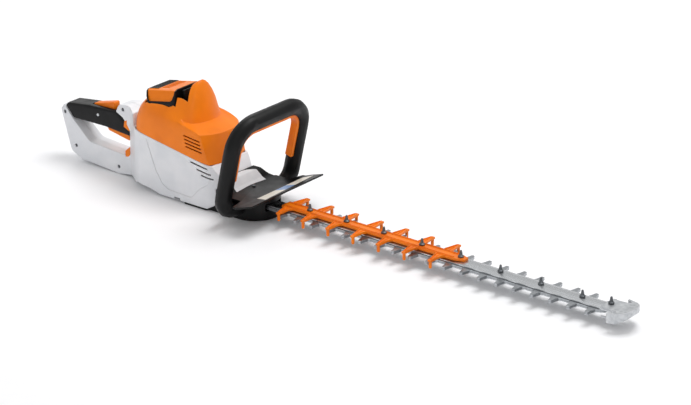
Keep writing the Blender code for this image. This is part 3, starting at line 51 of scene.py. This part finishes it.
BODY_OF = {node: body for body, nodes in frame["record"]["behaviour"]["bodies"].items() for node in nodes}

# ---------------------------------------------------------------- sizes, in metres
# sewing and cleaning a copied skin
SEAM = 0.01 * MM                    # corners closer than this are one
SPLINTER = 0.005 * MM               # shorter edges are dropped
FLAT_ANGLE = math.radians(0.6)      # faces that bend less than this are one flat face

# cutting bevels on the blades' teeth
TOOTH_BEVEL = 1.0 * MM
TOOTH_ROOT = 16.5 * MM              # teeth lie further from the middle than this
TOOTH_START = 0.05                  # and in front of this, clear of the yokes
TOOTH_STEEP = math.radians(60)      # a tooth's outline bends more than this into its flat faces
LEVEL_EDGE = 0.2 * MM               # an edge's ends are level within this

# films on the hand guard: corners (x, y) at rear right, rear left, front right and front left
FILM_DROP = 0.30                    # height from which a film's points fall onto the guard
FILM_FILL = 0.8                     # share of its lift that a film's own thickness takes
LABEL_CORNERS = ((-0.0530, -0.0370), (-0.0530, 0.0370), (-0.0270, -0.0420), (-0.0270, 0.0420))
LABEL_BOW = (0.0100, 0.0030)        # how far the rear and front edges' ends lie ahead of their middles
STRIP_CORNERS = ((0.0290, -0.0470), (0.0270, 0.0850), (0.0600, -0.0600), (0.0460, 0.0960))
PATCH_AT = 0.020                    # middle of the strip's blue patch, along Y
PATCH_HALF = 0.016

# ribs on the clip-on guard
RIB_TAPER = 0.6                     # a rib's top is this share of its foot's width
SPINE_RIBS = (0.0066, 0.0101)       # distances of the spine's ribs from the middle
SPINE_RIB_START = 0.002             # in front of the guard's rear end
SPINE_RIB_END = 0.022               # behind the guard's front end
SPINE_RIB_LIFT = 0.0003
SPINE_RIB_SIZE = (0.0012, 0.0014)   # width and height
FINGER_TIP_ZONE = 0.9               # share of the guard's half width beyond which a finger's tip lies
FINGER_GAP = 0.01                   # tips of two fingers are further apart than this
FINGER_ROOT = 0.0112                # distance of a finger's root from the middle
FINGER_TIP_ROOM = 0.0045            # from a rib's end to the finger's tip
FINGER_FOOT_SPREAD = 0.0085         # half width of the A of ribs at a finger's root
FINGER_TIP_SPREAD = 0.0018          # and at its tip
FINGER_RIB_DROP = 0.0002            # a rib's tip lies this much lower than its foot
FINGER_RIB_SIZE = (0.0016, 0.0030)
MIDDLE_RIB_FOOT_DROP = 0.0001
MIDDLE_RIB_TIP_DROP = 0.0003
MIDDLE_RIB_SHORT = 0.010            # how much sooner the thin middle rib ends than the A
MIDDLE_RIB_SIZE = (0.0010, 0.0018)

# the battery's cap, in its own frame: X forwards, Z the way it pulls out, the origin in its top
THUMB_PLATE_AT = (-0.0225, 0, 0.0002)
THUMB_PLATE = (0.0230, 0.0560, 0.0012)      # length, width and thickness
THUMB_PLATE_EDGE = 0.4 * MM
THUMB_RIBS = 6
THUMB_RIB_FIRST = -0.0310
THUMB_RIB_PITCH = 0.0034
THUMB_RIB_HALF = 0.0245
THUMB_RIB_LIFT = 0.0011
THUMB_RIB_SIZE = (0.0014, 0.0010)
CAP_RIBS = 9
CAP_RIB_FIRST = -0.0220
CAP_RIB_PITCH = 0.0055
CAP_RIB_REAR = -0.0060
CAP_RIB_FRONT = 0.0120
CAP_RIB_LIFT = 0.0003
CAP_RIB_SIZE = (0.0016, 0.0012)

# inlays in the loop handle's sides: (x, z) outlines, above and below the loop's window
INLAY_UPPER = ((-0.3255, 0.1130), (-0.3130, 0.1185), (-0.3130, 0.0945), (-0.3275, 0.1010))
INLAY_LOWER = ((-0.3255, 0.0520), (-0.3130, 0.0630), (-0.3130, 0.0420), (-0.3250, 0.0405))
LOOP_HALF = 0.0190                  # half width of the loop
INLAY_SINK = 0.0006                 # depth of an inlay's back below the loop's side
INLAY_THICK = 0.0010

# stage: the lights are (name, place, aim, diameter, watts)
FLOOR_HALF = 60.0
FLOOR_GAP = 0.5 * MM                # the floor lies this far under the base plate
LIGHTS = (
    ("overhead", (0.6, 1.0, 3.2), (0.1, 0, 0.05), 2.0, 62),
    ("front_fill", (1.5, -3.0, 2.0), (0.1, 0, 0.1), 2.2, 7),
    ("rear_rim", (-2.2, 1.6, 1.6), (-0.1, 0, 0.1), 1.2, 10),
)
SKY_STRENGTH = 0.62
CAMERA_AT = Vector((3.00815, -3.53046, 1.92828))
AZIMUTH = math.radians(38.514)
ELEVATION = math.radians(22.353)
FOCAL_LENGTH_MM = 140.665
SENSOR_WIDTH_MM = 36
CLIP_END = 300                      # past the floor's far corners


# ---------------------------------------------------------------- node helpers
def linear(hex_colour):
    """An sRGB hex value as a linear colour with alpha."""
    channels = [int(hex_colour[i:i + 2], 16) / 255 for i in (1, 3, 5)]
    turned = [c / 12.92 if c <= 0.04045 else ((c + 0.055) / 1.055) ** 2.4 for c in channels]
    return (*turned, 1.0)


def add(tree, kind, sockets=None, **settings):
    """Adds one node: settings are its properties, sockets its input values or links."""
    made = tree.nodes.new(kind)
    for name, value in settings.items():
        setattr(made, name, value)
    for name, value in (sockets or {}).items():
        if isinstance(value, bpy.types.NodeSocket):
            tree.links.new(value, made.inputs[name])
        else:
            made.inputs[name].default_value = value
    return made


def finish(name, roughness, metallic=0.0, **sockets):
    """A new material with its tree, its shader and Object coordinates in metres."""
    made = bpy.data.materials.new(name)
    made.use_nodes = True
    tree = made.node_tree
    shader = tree.nodes["Principled BSDF"]
    shader.inputs["Roughness"].default_value = roughness
    shader.inputs["Metallic"].default_value = metallic
    for socket, value in sockets.items():
        shader.inputs[socket.replace("_", " ")].default_value = value
    place = add(tree, "ShaderNodeTexCoord").outputs["Object"]
    return made, tree, shader, place


def speckle(tree, place, size_mm, detail=2.0, stretch=None):
    """Noise whose blobs are size_mm across, drawn out along an axis by stretch."""
    if stretch:
        place = add(tree, "ShaderNodeMapping", {"Vector": place, "Scale": stretch}).outputs["Vector"]
    return add(
        tree, "ShaderNodeTexNoise", {"Vector": place, "Scale": 1 / (size_mm * MM), "Detail": detail}
    ).outputs["Fac"]


def ramp(tree, factor, low, high, first, last):
    """Maps factor from low..high to first..last, held at both ends."""
    return add(
        tree, "ShaderNodeMapRange",
        {"Value": factor, "From Min": low, "From Max": high, "To Min": first, "To Max": last},
    ).outputs["Result"]


def mix(tree, factor, first, second):
    """Colour first where factor is 0, second where it is 1; either may be a hex value or a link."""
    first, second = [linear(c) if isinstance(c, str) else c for c in (first, second)]
    # a Mix node's sockets share their names: inputs 6 and 7 and output 2 are the colours
    return add(tree, "ShaderNodeMix", {0: factor, 6: first, 7: second}, data_type="RGBA").outputs[2]


def edges(tree, width_mm, low=0.02, high=0.25):
    """1 along edges within about width_mm, 0 on open faces."""
    round_normal = add(tree, "ShaderNodeBevel", {"Radius": width_mm * MM}, samples=4).outputs["Normal"]
    flat_normal = add(tree, "ShaderNodeNewGeometry").outputs["Normal"]
    likeness = add(tree, "ShaderNodeVectorMath", {0: round_normal, 1: flat_normal}, operation="DOT_PRODUCT")
    return ramp(tree, likeness.outputs["Value"], 1 - high, 1 - low, 1.0, 0.0)


def relief(tree, shader, height, depth_mm, edge_mm=0.0):
    """Bump of depth_mm from height, over edges rounded to edge_mm."""
    sockets = {"Height": height, "Distance": depth_mm * MM, "Strength": 1.0}
    if edge_mm:
        rounded = add(tree, "ShaderNodeBevel", {"Radius": edge_mm * MM}, samples=4)
        sockets["Normal"] = rounded.outputs["Normal"]
    bump = add(tree, "ShaderNodeBump", sockets)
    tree.links.new(bump.outputs["Normal"], shader.inputs["Normal"])


def moulded(name, colour, darker, edge_highlight_and_wear, roughness, grain_mm=0.8, depth_mm=0.02, edge_mm=1.2, **sockets):
    """Injection-moulded plastic: mottled colour, spark-eroded grain, patchy gloss, edges painted paler, partly as
    rubbing wear and partly as a painted highlight.
    """
    made, tree, shader, place = finish(name, roughness, **sockets)
    flow = speckle(tree, place, 45.0, 3.0)
    body = mix(tree, ramp(tree, flow, 0.35, 0.65, 0.0, 1.0), colour, darker)
    # edges painted paler: partly rubbed wear, partly a painted highlight along every edge, made patchy by a
    # speckle
    worn_and_highlit_edges = edges(tree, edge_mm)
    scuffed_and_highlit = add(
        tree, "ShaderNodeMath", {0: worn_and_highlit_edges, 1: ramp(tree, speckle(tree, place, 6.0), 0.35, 0.6, 0.2, 1.0)},
        operation="MULTIPLY",
    ).outputs["Value"]
    paled_by_wear_and_highlight = mix(tree, ramp(tree, scuffed_and_highlit, 0.0, 1.0, 0.0, 0.55), body, edge_highlight_and_wear)
    tree.links.new(paled_by_wear_and_highlight, shader.inputs["Base Color"])
    handled = ramp(tree, speckle(tree, place, 18.0, 3.0), 0.3, 0.7, roughness - 0.05, roughness + 0.06)
    tree.links.new(handled, shader.inputs["Roughness"])
    relief(tree, shader, speckle(tree, place, grain_mm, 1.0), depth_mm, edge_mm)
    return made


# ---------------------------------------------------------------- finishes
def white_nylon():
    # glass-filled nylon, moulded in a fine spark-eroded tool: a clean satin white with soft, wide gloss, and paler
    # edges that are partly wear and partly a painted highlight
    return moulded("white_nylon", "#E6E7EA", "#DCDEE2", "#F4F4F6", 0.36, 0.7, 0.012, 1.5, IOR=1.52)


def orange_shell():
    # ABS blend for the cover and the battery's cap: deep saturated orange, half gloss, with a pale orange painted
    # highlight along its edges that partly stands for wear
    return moulded(
        "orange_shell", "#F98200", "#EE7900", "#FFA636", 0.36, 0.7, 0.012, 1.5, Specular_IOR_Level=0.28,
    )


def orange_nylon():
    # fibre-filled nylon for the clip-on guard and the buttons: a little paler and drier than the cover, with paler
    # edges that are partly wear and partly a painted highlight
    return moulded(
        "orange_nylon", "#F68000", "#E87000", "#FFAC52", 0.42, 0.9, 0.03, 0.8, Specular_IOR_Level=0.30,
    )


def black_nylon():
    # glass-filled black nylon: nearly black, satin, with greyish edges that are partly rubbed wear and partly a
    # painted highlight
    return moulded(
        "black_nylon", "#0A0B0C", "#060607", "#1C1D1F", 0.38, 0.8, 0.02, 1.0, Specular_IOR_Level=0.26,
    )


def soft_grip():
    # thermoplastic elastomer moulded over the handles: very dark, dry to the eye, fine leathery grain, and grey
    # edges that are partly wear and partly a painted highlight
    return moulded(
        "soft_grip", "#08090A", "#050506", "#18191B", 0.46, 1.1, 0.05, 1.5, Specular_IOR_Level=0.24,
    )


def ground_blade_steel():
    # punched spring steel, surface-ground along its length: long fine scratches, a few rolled-in stains
    made, tree, shader, place = finish("ground_blade_steel", 0.30, 1.0)
    lines = speckle(tree, place, 0.9, 3.0, (0.05, 1.0, 1.0))
    stain = speckle(tree, place, 22.0, 4.0)
    steel = mix(tree, ramp(tree, lines, 0.3, 0.7, 0.0, 1.0), "#B9BCBF", "#9FA3A7")
    stained = mix(tree, ramp(tree, stain, 0.52, 0.75, 0.0, 0.5), steel, "#7F8286")
    tree.links.new(stained, shader.inputs["Base Color"])
    tree.links.new(ramp(tree, lines, 0.3, 0.7, 0.22, 0.40), shader.inputs["Roughness"])
    relief(tree, shader, lines, 0.02, 0.3)
    return made


def ground_tooth_edge():
    # the cutting bevel, ground across the tooth after hardening: darker, with short cross scratches
    made, tree, shader, place = finish("ground_tooth_edge", 0.28, 1.0)
    lines = speckle(tree, place, 0.7, 2.0, (1.0, 0.08, 1.0))
    steel = mix(tree, ramp(tree, lines, 0.3, 0.7, 0.0, 1.0), "#6A6D71", "#4C4F53")
    tree.links.new(steel, shader.inputs["Base Color"])
    relief(tree, shader, lines, 0.02, 0.2)
    return made


def bright_bar():
    # cold-drawn guide bar, zinc plated and brushed along its length: brighter than the blades
    made, tree, shader, place = finish("bright_bar", 0.26, 1.0)
    lines = speckle(tree, place, 0.8, 3.0, (0.03, 1.0, 1.0))
    bar = mix(tree, ramp(tree, lines, 0.3, 0.7, 0.0, 1.0), "#D6D8DA", "#BEC1C4")
    tree.links.new(bar, shader.inputs["Base Color"])
    tree.links.new(ramp(tree, lines, 0.3, 0.7, 0.20, 0.36), shader.inputs["Roughness"])
    relief(tree, shader, lines, 0.015, 0.4)
    return made


def phosphated_steel():
    # manganese-phosphated, oiled screws: dark grey, matt, with bare metal on their worn rims
    made, tree, shader, place = finish("phosphated_steel", 0.40, 1.0)
    crystal = speckle(tree, place, 0.6, 3.0)
    dark = mix(tree, ramp(tree, crystal, 0.35, 0.65, 0.0, 1.0), "#6E7073", "#565A5E")
    tree.links.new(mix(tree, edges(tree, 0.5), dark, "#A4A7AA"), shader.inputs["Base Color"])
    relief(tree, shader, crystal, 0.02, 0.4)
    return made


def turned_steel():
    # pins, shafts and small screws turned from bright bar and lightly oiled
    made, tree, shader, place = finish("turned_steel", 0.25, 1.0)
    lines = speckle(tree, place, 0.5, 2.0)
    tree.links.new(mix(tree, lines, "#C9CBCD", "#A9ACAF"), shader.inputs["Base Color"])
    relief(tree, shader, lines, 0.01, 0.3)
    return made


def cast_aluminium():
    # pressure die casting, bead blasted: pale soft grey with a fine even pitting
    made, tree, shader, place = finish("cast_aluminium", 0.44, 1.0)
    pits = speckle(tree, place, 0.9, 3.0)
    cloud = speckle(tree, place, 9.0, 2.0)
    metal = mix(tree, ramp(tree, cloud, 0.35, 0.65, 0.0, 1.0), "#CFD1D3", "#B6B9BC")
    tree.links.new(mix(tree, edges(tree, 1.0), metal, "#E4E5E6"), shader.inputs["Base Color"])
    relief(tree, shader, pits, 0.05, 1.2)
    return made


def blank_label():
    # laminated polyester film with nothing printed on it: pale grey, smooth, faintly wavy
    made, tree, shader, place = finish("blank_label", 0.30, IOR=1.50)
    cloud = speckle(tree, place, 14.0, 2.0)
    tree.links.new(mix(tree, cloud, "#E3E4E6", "#D3D5D8"), shader.inputs["Base Color"])
    relief(tree, shader, cloud, 0.05)
    return made


def warning_strip():
    # the same film with plain soft colour fields, cream with a steel blue patch in the middle
    made, tree, shader, place = finish("warning_strip", 0.32, IOR=1.50)
    across = add(tree, "ShaderNodeSeparateXYZ", {"Vector": place}).outputs["Y"]
    from_patch = add(tree, "ShaderNodeMath", {0: across, 1: PATCH_AT}, operation="SUBTRACT").outputs["Value"]
    off_centre = add(tree, "ShaderNodeMath", {0: from_patch}, operation="ABSOLUTE").outputs["Value"]
    patch = ramp(tree, off_centre, PATCH_HALF - MM, PATCH_HALF, 1.0, 0.0)
    cloud = speckle(tree, place, 12.0, 2.0)
    cream = mix(tree, cloud, "#EAE7DC", "#DDD9CA")
    tree.links.new(mix(tree, patch, cream, "#7E9CC8"), shader.inputs["Base Color"])
    relief(tree, shader, cloud, 0.05)
    return made


def solder_mask():
    # green lacquer over glass-fibre board, glossy with faint copper tracks under it
    made, tree, shader, place = finish("solder_mask", 0.25, IOR=1.50)
    tracks = add(
        tree, "ShaderNodeTexBrick",
        {"Vector": place, "Scale": 260.0, "Color1": linear("#15562A"), "Color2": linear("#0F4720"),
         "Mortar": linear("#2E7A44"), "Mortar Size": 0.08},
    )
    tree.links.new(tracks.outputs["Color"], shader.inputs["Base Color"])
    relief(tree, shader, tracks.outputs["Fac"], 0.03)
    return made


def studio_floor():
    # matt white paper sweep
    made, tree, shader, place = finish("studio_floor", 0.9)
    fibre = speckle(tree, place, 30.0, 4.0)
    tree.links.new(mix(tree, fibre, "#FBFBFC", "#F8F8FA"), shader.inputs["Base Color"])
    return made


FINISH = {
    "white": white_nylon(), "orange": orange_shell(), "guard": orange_nylon(), "black": black_nylon(),
    "grip": soft_grip(), "blade": ground_blade_steel(), "tooth": ground_tooth_edge(), "bar": bright_bar(),
    "screw": phosphated_steel(), "pin": turned_steel(), "cast": cast_aluminium(), "label": blank_label(),
    "strip": warning_strip(), "board": solder_mask(),
}


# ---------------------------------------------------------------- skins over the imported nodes
def settle(form, name, *finishes):
    """The finished mesh as an object at the origin."""
    mesh = bpy.data.meshes.new(name)
    form.to_mesh(mesh)
    form.free()
    for each in finishes:
        mesh.materials.append(each)
    made = bpy.data.objects.new(name, mesh)
    bpy.context.scene.collection.objects.link(made)
    return made


def shade(form, crease):
    """Smooth faces, with every edge that bends more than crease degrees kept sharp."""
    for face in form.faces:
        face.smooth = True
    for edge in form.edges:
        edge.smooth = len(edge.link_faces) == 2 and edge.calc_face_angle(math.pi) < math.radians(crease)


def even_shading(piece):
    """Normals weighted by face size, so flat faces stay flat beside rounded edges."""
    weighted = piece.modifiers.new("even_shading", "WEIGHTED_NORMAL")
    weighted.keep_sharp = True
    return piece


def sewn(node):
    """A node's triangles sewn into one skin."""
    form = bmesh.new()
    form.from_mesh(frame["nodes"][node].data)
    bmesh.ops.remove_doubles(form, verts=form.verts, dist=SEAM)
    bmesh.ops.dissolve_degenerate(form, edges=form.edges, dist=SPLINTER)
    return form


def eased(form, width_mm, angle=40, segments=2):
    """Every edge that bends more than angle degrees is rounded."""
    bmesh.ops.dissolve_limit(form, angle_limit=FLAT_ANGLE, verts=form.verts, edges=form.edges)
    sharp = [e for e in form.edges if len(e.link_faces) == 2 and e.calc_face_angle(0) > math.radians(angle)]
    bmesh.ops.bevel(
        form, geom=sharp, offset=width_mm * MM, segments=segments, profile=0.5, affect="EDGES", material=-1,
        clamp_overlap=True,
    )


def mount(piece, node, stands_for=True):
    """A piece rides with a node's body, and may stand for it."""
    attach(piece, BODY_OF[node])
    if stands_for:
        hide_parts(node)


def skin(node, name, made_of, crease, ease_mm=0.0):
    """A smooth copy of a node that stands for it, with its edges rounded by ease_mm."""
    form = sewn(node)
    if ease_mm:
        eased(form, ease_mm)
    shade(form, crease)
    mount(even_shading(settle(form, name, FINISH[made_of])), node)


def skins():
    for side in ("right", "left"):
        skin(f"housing_{side}", f"motor_housing_{side}", "white", 28)
    skin("hood", "orange_cover", "orange", 35)
    skin("battery_lid", "battery_cap", "orange", 30)
    skin("battery_case", "battery_pack", "black", 30)
    skin("battery_latch", "release_lever", "black", 30, 0.6)
    skin("front_handle", "bail_handle", "grip", 50)
    skin("switch_bar", "front_switch_bar", "guard", 40, 1.2)
    skin("hand_guard", "finger_shield", "black", 40, 0.9)
    skin("rear_grip", "loop_grip", "grip", 35)
    skin("trigger", "speed_trigger", "guard", 40)
    skin("lockout_lever", "safety_lever", "guard", 40)
    skin("gear_housing", "gear_case", "black", 35, 1.2)
    skin("base_plate", "skid_plate", "black", 35, 0.8)
    skin("tip_guard", "bar_nose", "cast", 35, 1.0)
    skin("guide_bar", "cutter_bar", "bar", 20)
    skin("blade_guard", "clip_on_guard", "guard", 35)


def ground_blade(node, name):
    """A blade with its cutting bevels ground on both faces of every tooth."""
    form = sewn(node)
    bmesh.ops.dissolve_limit(form, angle_limit=FLAT_ANGLE, verts=form.verts, edges=form.edges)
    flanks = [
        e for e in form.edges
        if e.calc_face_angle(0) > TOOTH_STEEP and abs(e.verts[0].co.z - e.verts[1].co.z) < LEVEL_EDGE
        and min(abs(v.co.y) for v in e.verts) > TOOTH_ROOT and e.verts[0].co.x > TOOTH_START
    ]
    bmesh.ops.bevel(
        form, geom=flanks, offset=TOOTH_BEVEL, segments=1, profile=0.5, affect="EDGES", material=1,
        clamp_overlap=True,
    )
    shade(form, 20)
    mount(even_shading(settle(form, name, FINISH["blade"], FINISH["tooth"])), node)


def dress(node, made_of):
    """A node that keeps its own solid gets its finish."""
    mesh = frame["nodes"][node].data
    mesh.materials.clear()
    mesh.materials.append(FINISH[made_of])


def carry_over():
    """Finishes for the nodes that keep their own solids, and skins for the bar's screws."""
    kept = {
        "pin": ("motor_pinion", "crank_shaft", "rotor_shaft", "crank_bearing_top", "crank_bearing_base",
                "idler_axle", "latch_pin", "trigger_pin", "lever_pin", "trigger_spring", "lever_spring",
                "grip_screw", "handle_bolt_left", "handle_bolt_right"),
        "screw": ("crank_gear", "idler_gear", "guard_screw"),
        "black": ("cooling_fan", "battery_well", "contact_block", "trigger_switch"),
        "cast": ("rotor_bell", "heat_sink", "motor_stator"),
        "guard": ("rear_bulkhead",),
        "board": ("controller_board",),
    }
    for made_of, nodes in kept.items():
        for node in nodes:
            dress(node, made_of)
    for node in frame["nodes"]:
        if node.startswith("handle_screw"):
            dress(node, "screw")
        if node.startswith("bar_screw"):
            skin(node, node + "_turned", "screw", 35)


# ---------------------------------------------------------------- films, inlays and ribs
def film(name, node, made_of, corners, bow=(0.0, 0.0), lift_mm=0.25):
    """A blank film laid on a node from above; bow bends its rear and front edges forwards at their ends."""
    form = bmesh.new()
    bmesh.ops.create_grid(form, x_segments=24, y_segments=40, size=0.5)
    under = BVHTree.FromBMesh(sewn(node))
    rear_right, rear_left, front_right, front_left = [Vector(c) for c in corners]
    for vert in form.verts:
        along, across = vert.co.x + 0.5, vert.co.y + 0.5
        rear = rear_right.lerp(rear_left, across)
        front = front_right.lerp(front_left, across)
        at = rear.lerp(front, along)
        end = (2 * across - 1) ** 2
        x = at.x + end * (bow[0] + (bow[1] - bow[0]) * along)
        hit = under.ray_cast(Vector((x, at.y, FILM_DROP)), Vector((0, 0, -1)))[0]
        vert.co = (x, at.y, hit.z + lift_mm * MM)
    bmesh.ops.solidify(form, geom=form.faces, thickness=FILM_FILL * lift_mm * MM)
    bmesh.ops.recalc_face_normals(form, faces=form.faces)
    shade(form, 40)
    mount(settle(form, name, FINISH[made_of]), node, False)


def bar_between(form, start, end, width, height):
    """A straight rib from start to end, standing up along Z, narrower at its top."""
    start, end = Vector(start), Vector(end)
    along = end - start
    made = bmesh.ops.create_cube(form, size=1.0)["verts"]
    top = [v for v in made if v.co.z > 0]
    bmesh.ops.scale(form, vec=(1.0, RIB_TAPER, 1.0), verts=top)
    turn = along.to_track_quat("X", "Z").to_matrix().to_4x4()
    size = Matrix.Diagonal((along.length, width, height, 1.0))
    bmesh.ops.transform(form, matrix=Matrix.Translation((start + end) / 2) @ turn @ size, verts=made)


def finger_places(verts, reach):
    """The x of each finger of the clip-on guard, from the corners at its tips."""
    tips = sorted(v.x for v in verts if v.y > FINGER_TIP_ZONE * reach)
    fingers = [[tips[0]]]
    for x in tips:
        if x - fingers[-1][-1] > FINGER_GAP:
            fingers.append([])
        fingers[-1].append(x)
    return [sum(group) / len(group) for group in fingers]


def guard_ribs():
    """Ribs along the clip-on guard's spine, and an A of two ribs with a thin one in it down each finger."""
    low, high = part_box("blade_guard")
    verts = [v.co for v in frame["nodes"]["blade_guard"].data.vertices]
    top = max(v.z for v in verts)
    rear, front = low[0] + SPINE_RIB_START, high[0] - SPINE_RIB_END
    tip = high[1] - FINGER_TIP_ROOM
    form = bmesh.new()
    for side in (-1, 1):
        for y in SPINE_RIBS:
            level = top + SPINE_RIB_LIFT
            bar_between(form, (rear, side * y, level), (front, side * y, level), *SPINE_RIB_SIZE)
        for x in finger_places(verts, high[1]):
            for lean in (-1, 1):
                foot = (x + lean * FINGER_FOOT_SPREAD, side * FINGER_ROOT, top)
                end = (x + lean * FINGER_TIP_SPREAD, side * tip, top - FINGER_RIB_DROP)
                bar_between(form, foot, end, *FINGER_RIB_SIZE)
            foot = (x, side * FINGER_ROOT, top - MIDDLE_RIB_FOOT_DROP)
            end = (x, side * (tip - MIDDLE_RIB_SHORT), top - MIDDLE_RIB_TIP_DROP)
            bar_between(form, foot, end, *MIDDLE_RIB_SIZE)
    bmesh.ops.recalc_face_normals(form, faces=form.faces)
    shade(form, 30)
    mount(settle(form, "guard_ribs", FINISH["guard"]), "blade_guard", False)


def cap_frame():
    """The battery cap's own frame: the middle of its top, with Z the way the battery pulls out."""
    slide = next(j for j in frame["joints"] if j["name"] == "battery_slide")
    up = Vector(slide["axis"]).normalized()
    left = Vector((0, 1, 0))
    forward = left.cross(up)
    verts = [v.co for v in frame["nodes"]["battery_lid"].data.vertices]
    level = max(v.dot(up) for v in verts)
    along = [v.dot(forward) for v in verts]
    turned = Matrix((forward, left, up)).transposed().to_4x4()
    return turned @ Matrix.Translation(((min(along) + max(along)) / 2, 0, level))


def cap_details():
    """A black thumb plate with ribs at the rear of the battery's cap, and a row of short ribs before it."""
    view = cap_frame()
    plate = bmesh.new()
    bmesh.ops.create_cube(plate, size=1.0)
    placed = Matrix.Translation(THUMB_PLATE_AT) @ Matrix.Diagonal((*THUMB_PLATE, 1))
    bmesh.ops.transform(plate, matrix=placed, verts=plate.verts)
    bmesh.ops.bevel(
        plate, geom=plate.edges[:], offset=THUMB_PLATE_EDGE, segments=2, profile=0.5, affect="EDGES",
        material=-1,
    )
    for i in range(THUMB_RIBS):
        x = THUMB_RIB_FIRST + i * THUMB_RIB_PITCH
        right, left = (x, -THUMB_RIB_HALF, THUMB_RIB_LIFT), (x, THUMB_RIB_HALF, THUMB_RIB_LIFT)
        bar_between(plate, right, left, *THUMB_RIB_SIZE)
    ribs = bmesh.new()
    for i in range(CAP_RIBS):
        y = CAP_RIB_FIRST + i * CAP_RIB_PITCH
        bar_between(ribs, (CAP_RIB_REAR, y, CAP_RIB_LIFT), (CAP_RIB_FRONT, y, CAP_RIB_LIFT), *CAP_RIB_SIZE)
    for form, name, made_of, node in (
        (plate, "cap_thumb_plate", "black", "battery_case"), (ribs, "cap_ribs", "orange", "battery_lid"),
    ):
        bmesh.ops.transform(form, matrix=view, verts=form.verts)
        bmesh.ops.recalc_face_normals(form, faces=form.faces)
        shade(form, 30)
        mount(settle(form, name, FINISH[made_of]), node, False)


def loop_inlays():
    """Orange inlays in both sides of the loop handle, above and below its window."""
    form = bmesh.new()
    for side in (-1, 1):
        for outline in (INLAY_UPPER, INLAY_LOWER):
            verts = [form.verts.new((x, side * (LOOP_HALF - INLAY_SINK), z)) for x, z in outline]
            face = form.faces.new(verts)
            grown = bmesh.ops.extrude_face_region(form, geom=[face])["geom"]
            raised = [v for v in grown if isinstance(v, bmesh.types.BMVert)]
            bmesh.ops.translate(form, vec=(0, side * INLAY_THICK, 0), verts=raised)
    bmesh.ops.recalc_face_normals(form, faces=form.faces)
    shade(form, 30)
    mount(settle(form, "loop_inlays", FINISH["orange"]), "rear_bulkhead", False)


def details():
    film("rating_label", "hand_guard", "label", LABEL_CORNERS, LABEL_BOW)
    film("flange_strip", "hand_guard", "strip", STRIP_CORNERS)
    guard_ribs()
    cap_details()
    loop_inlays()


# ---------------------------------------------------------------- stage
def camera():
    lens = bpy.data.cameras.new("studio_camera")
    lens.lens = FOCAL_LENGTH_MM
    lens.sensor_width = SENSOR_WIDTH_MM
    lens.clip_end = CLIP_END
    made = bpy.data.objects.new("studio_camera", lens)
    bpy.context.scene.collection.objects.link(made)
    level = math.cos(ELEVATION)
    back = Vector((math.sin(AZIMUTH) * level, -math.cos(AZIMUTH) * level, math.sin(ELEVATION)))
    right = Vector((0, 0, 1)).cross(back).normalized()
    turned = Matrix((right, back.cross(right), back)).transposed().to_4x4()
    turned.translation = CAMERA_AT
    made.matrix_world = turned
    bpy.context.scene.camera = made


def area_light(name, at, target, size, power):
    """A white round soft light at a place, facing its target."""
    lamp = bpy.data.lights.new(name, "AREA")
    lamp.shape = "DISK"
    lamp.size = size
    lamp.energy = power
    made = bpy.data.objects.new(name, lamp)
    facing = (Vector(at) - Vector(target)).to_track_quat("Z", "Y").to_matrix().to_4x4()
    made.matrix_world = Matrix.Translation(at) @ facing
    bpy.context.scene.collection.objects.link(made)


def stage():
    """The paper floor, three soft lights and an even white sky."""
    form = bmesh.new()
    bmesh.ops.create_grid(form, x_segments=1, y_segments=1, size=FLOOR_HALF)
    bmesh.ops.translate(form, vec=(0, 0, -FLOOR_GAP), verts=form.verts)
    settle(form, "paper_sweep", studio_floor())
    for light in LIGHTS:
        area_light(*light)
    sky = bpy.data.worlds.new("studio")
    bpy.context.scene.world = sky
    sky.use_nodes = True
    background = sky.node_tree.nodes["Background"]
    background.inputs["Color"].default_value = linear("#FFFFFF")
    background.inputs["Strength"].default_value = SKY_STRENGTH
    bpy.context.scene.view_settings.view_transform = "Standard"


skins()
ground_blade("upper_blade", "top_blade")
ground_blade("lower_blade", "bottom_blade")
carry_over()
details()
stage()
camera()
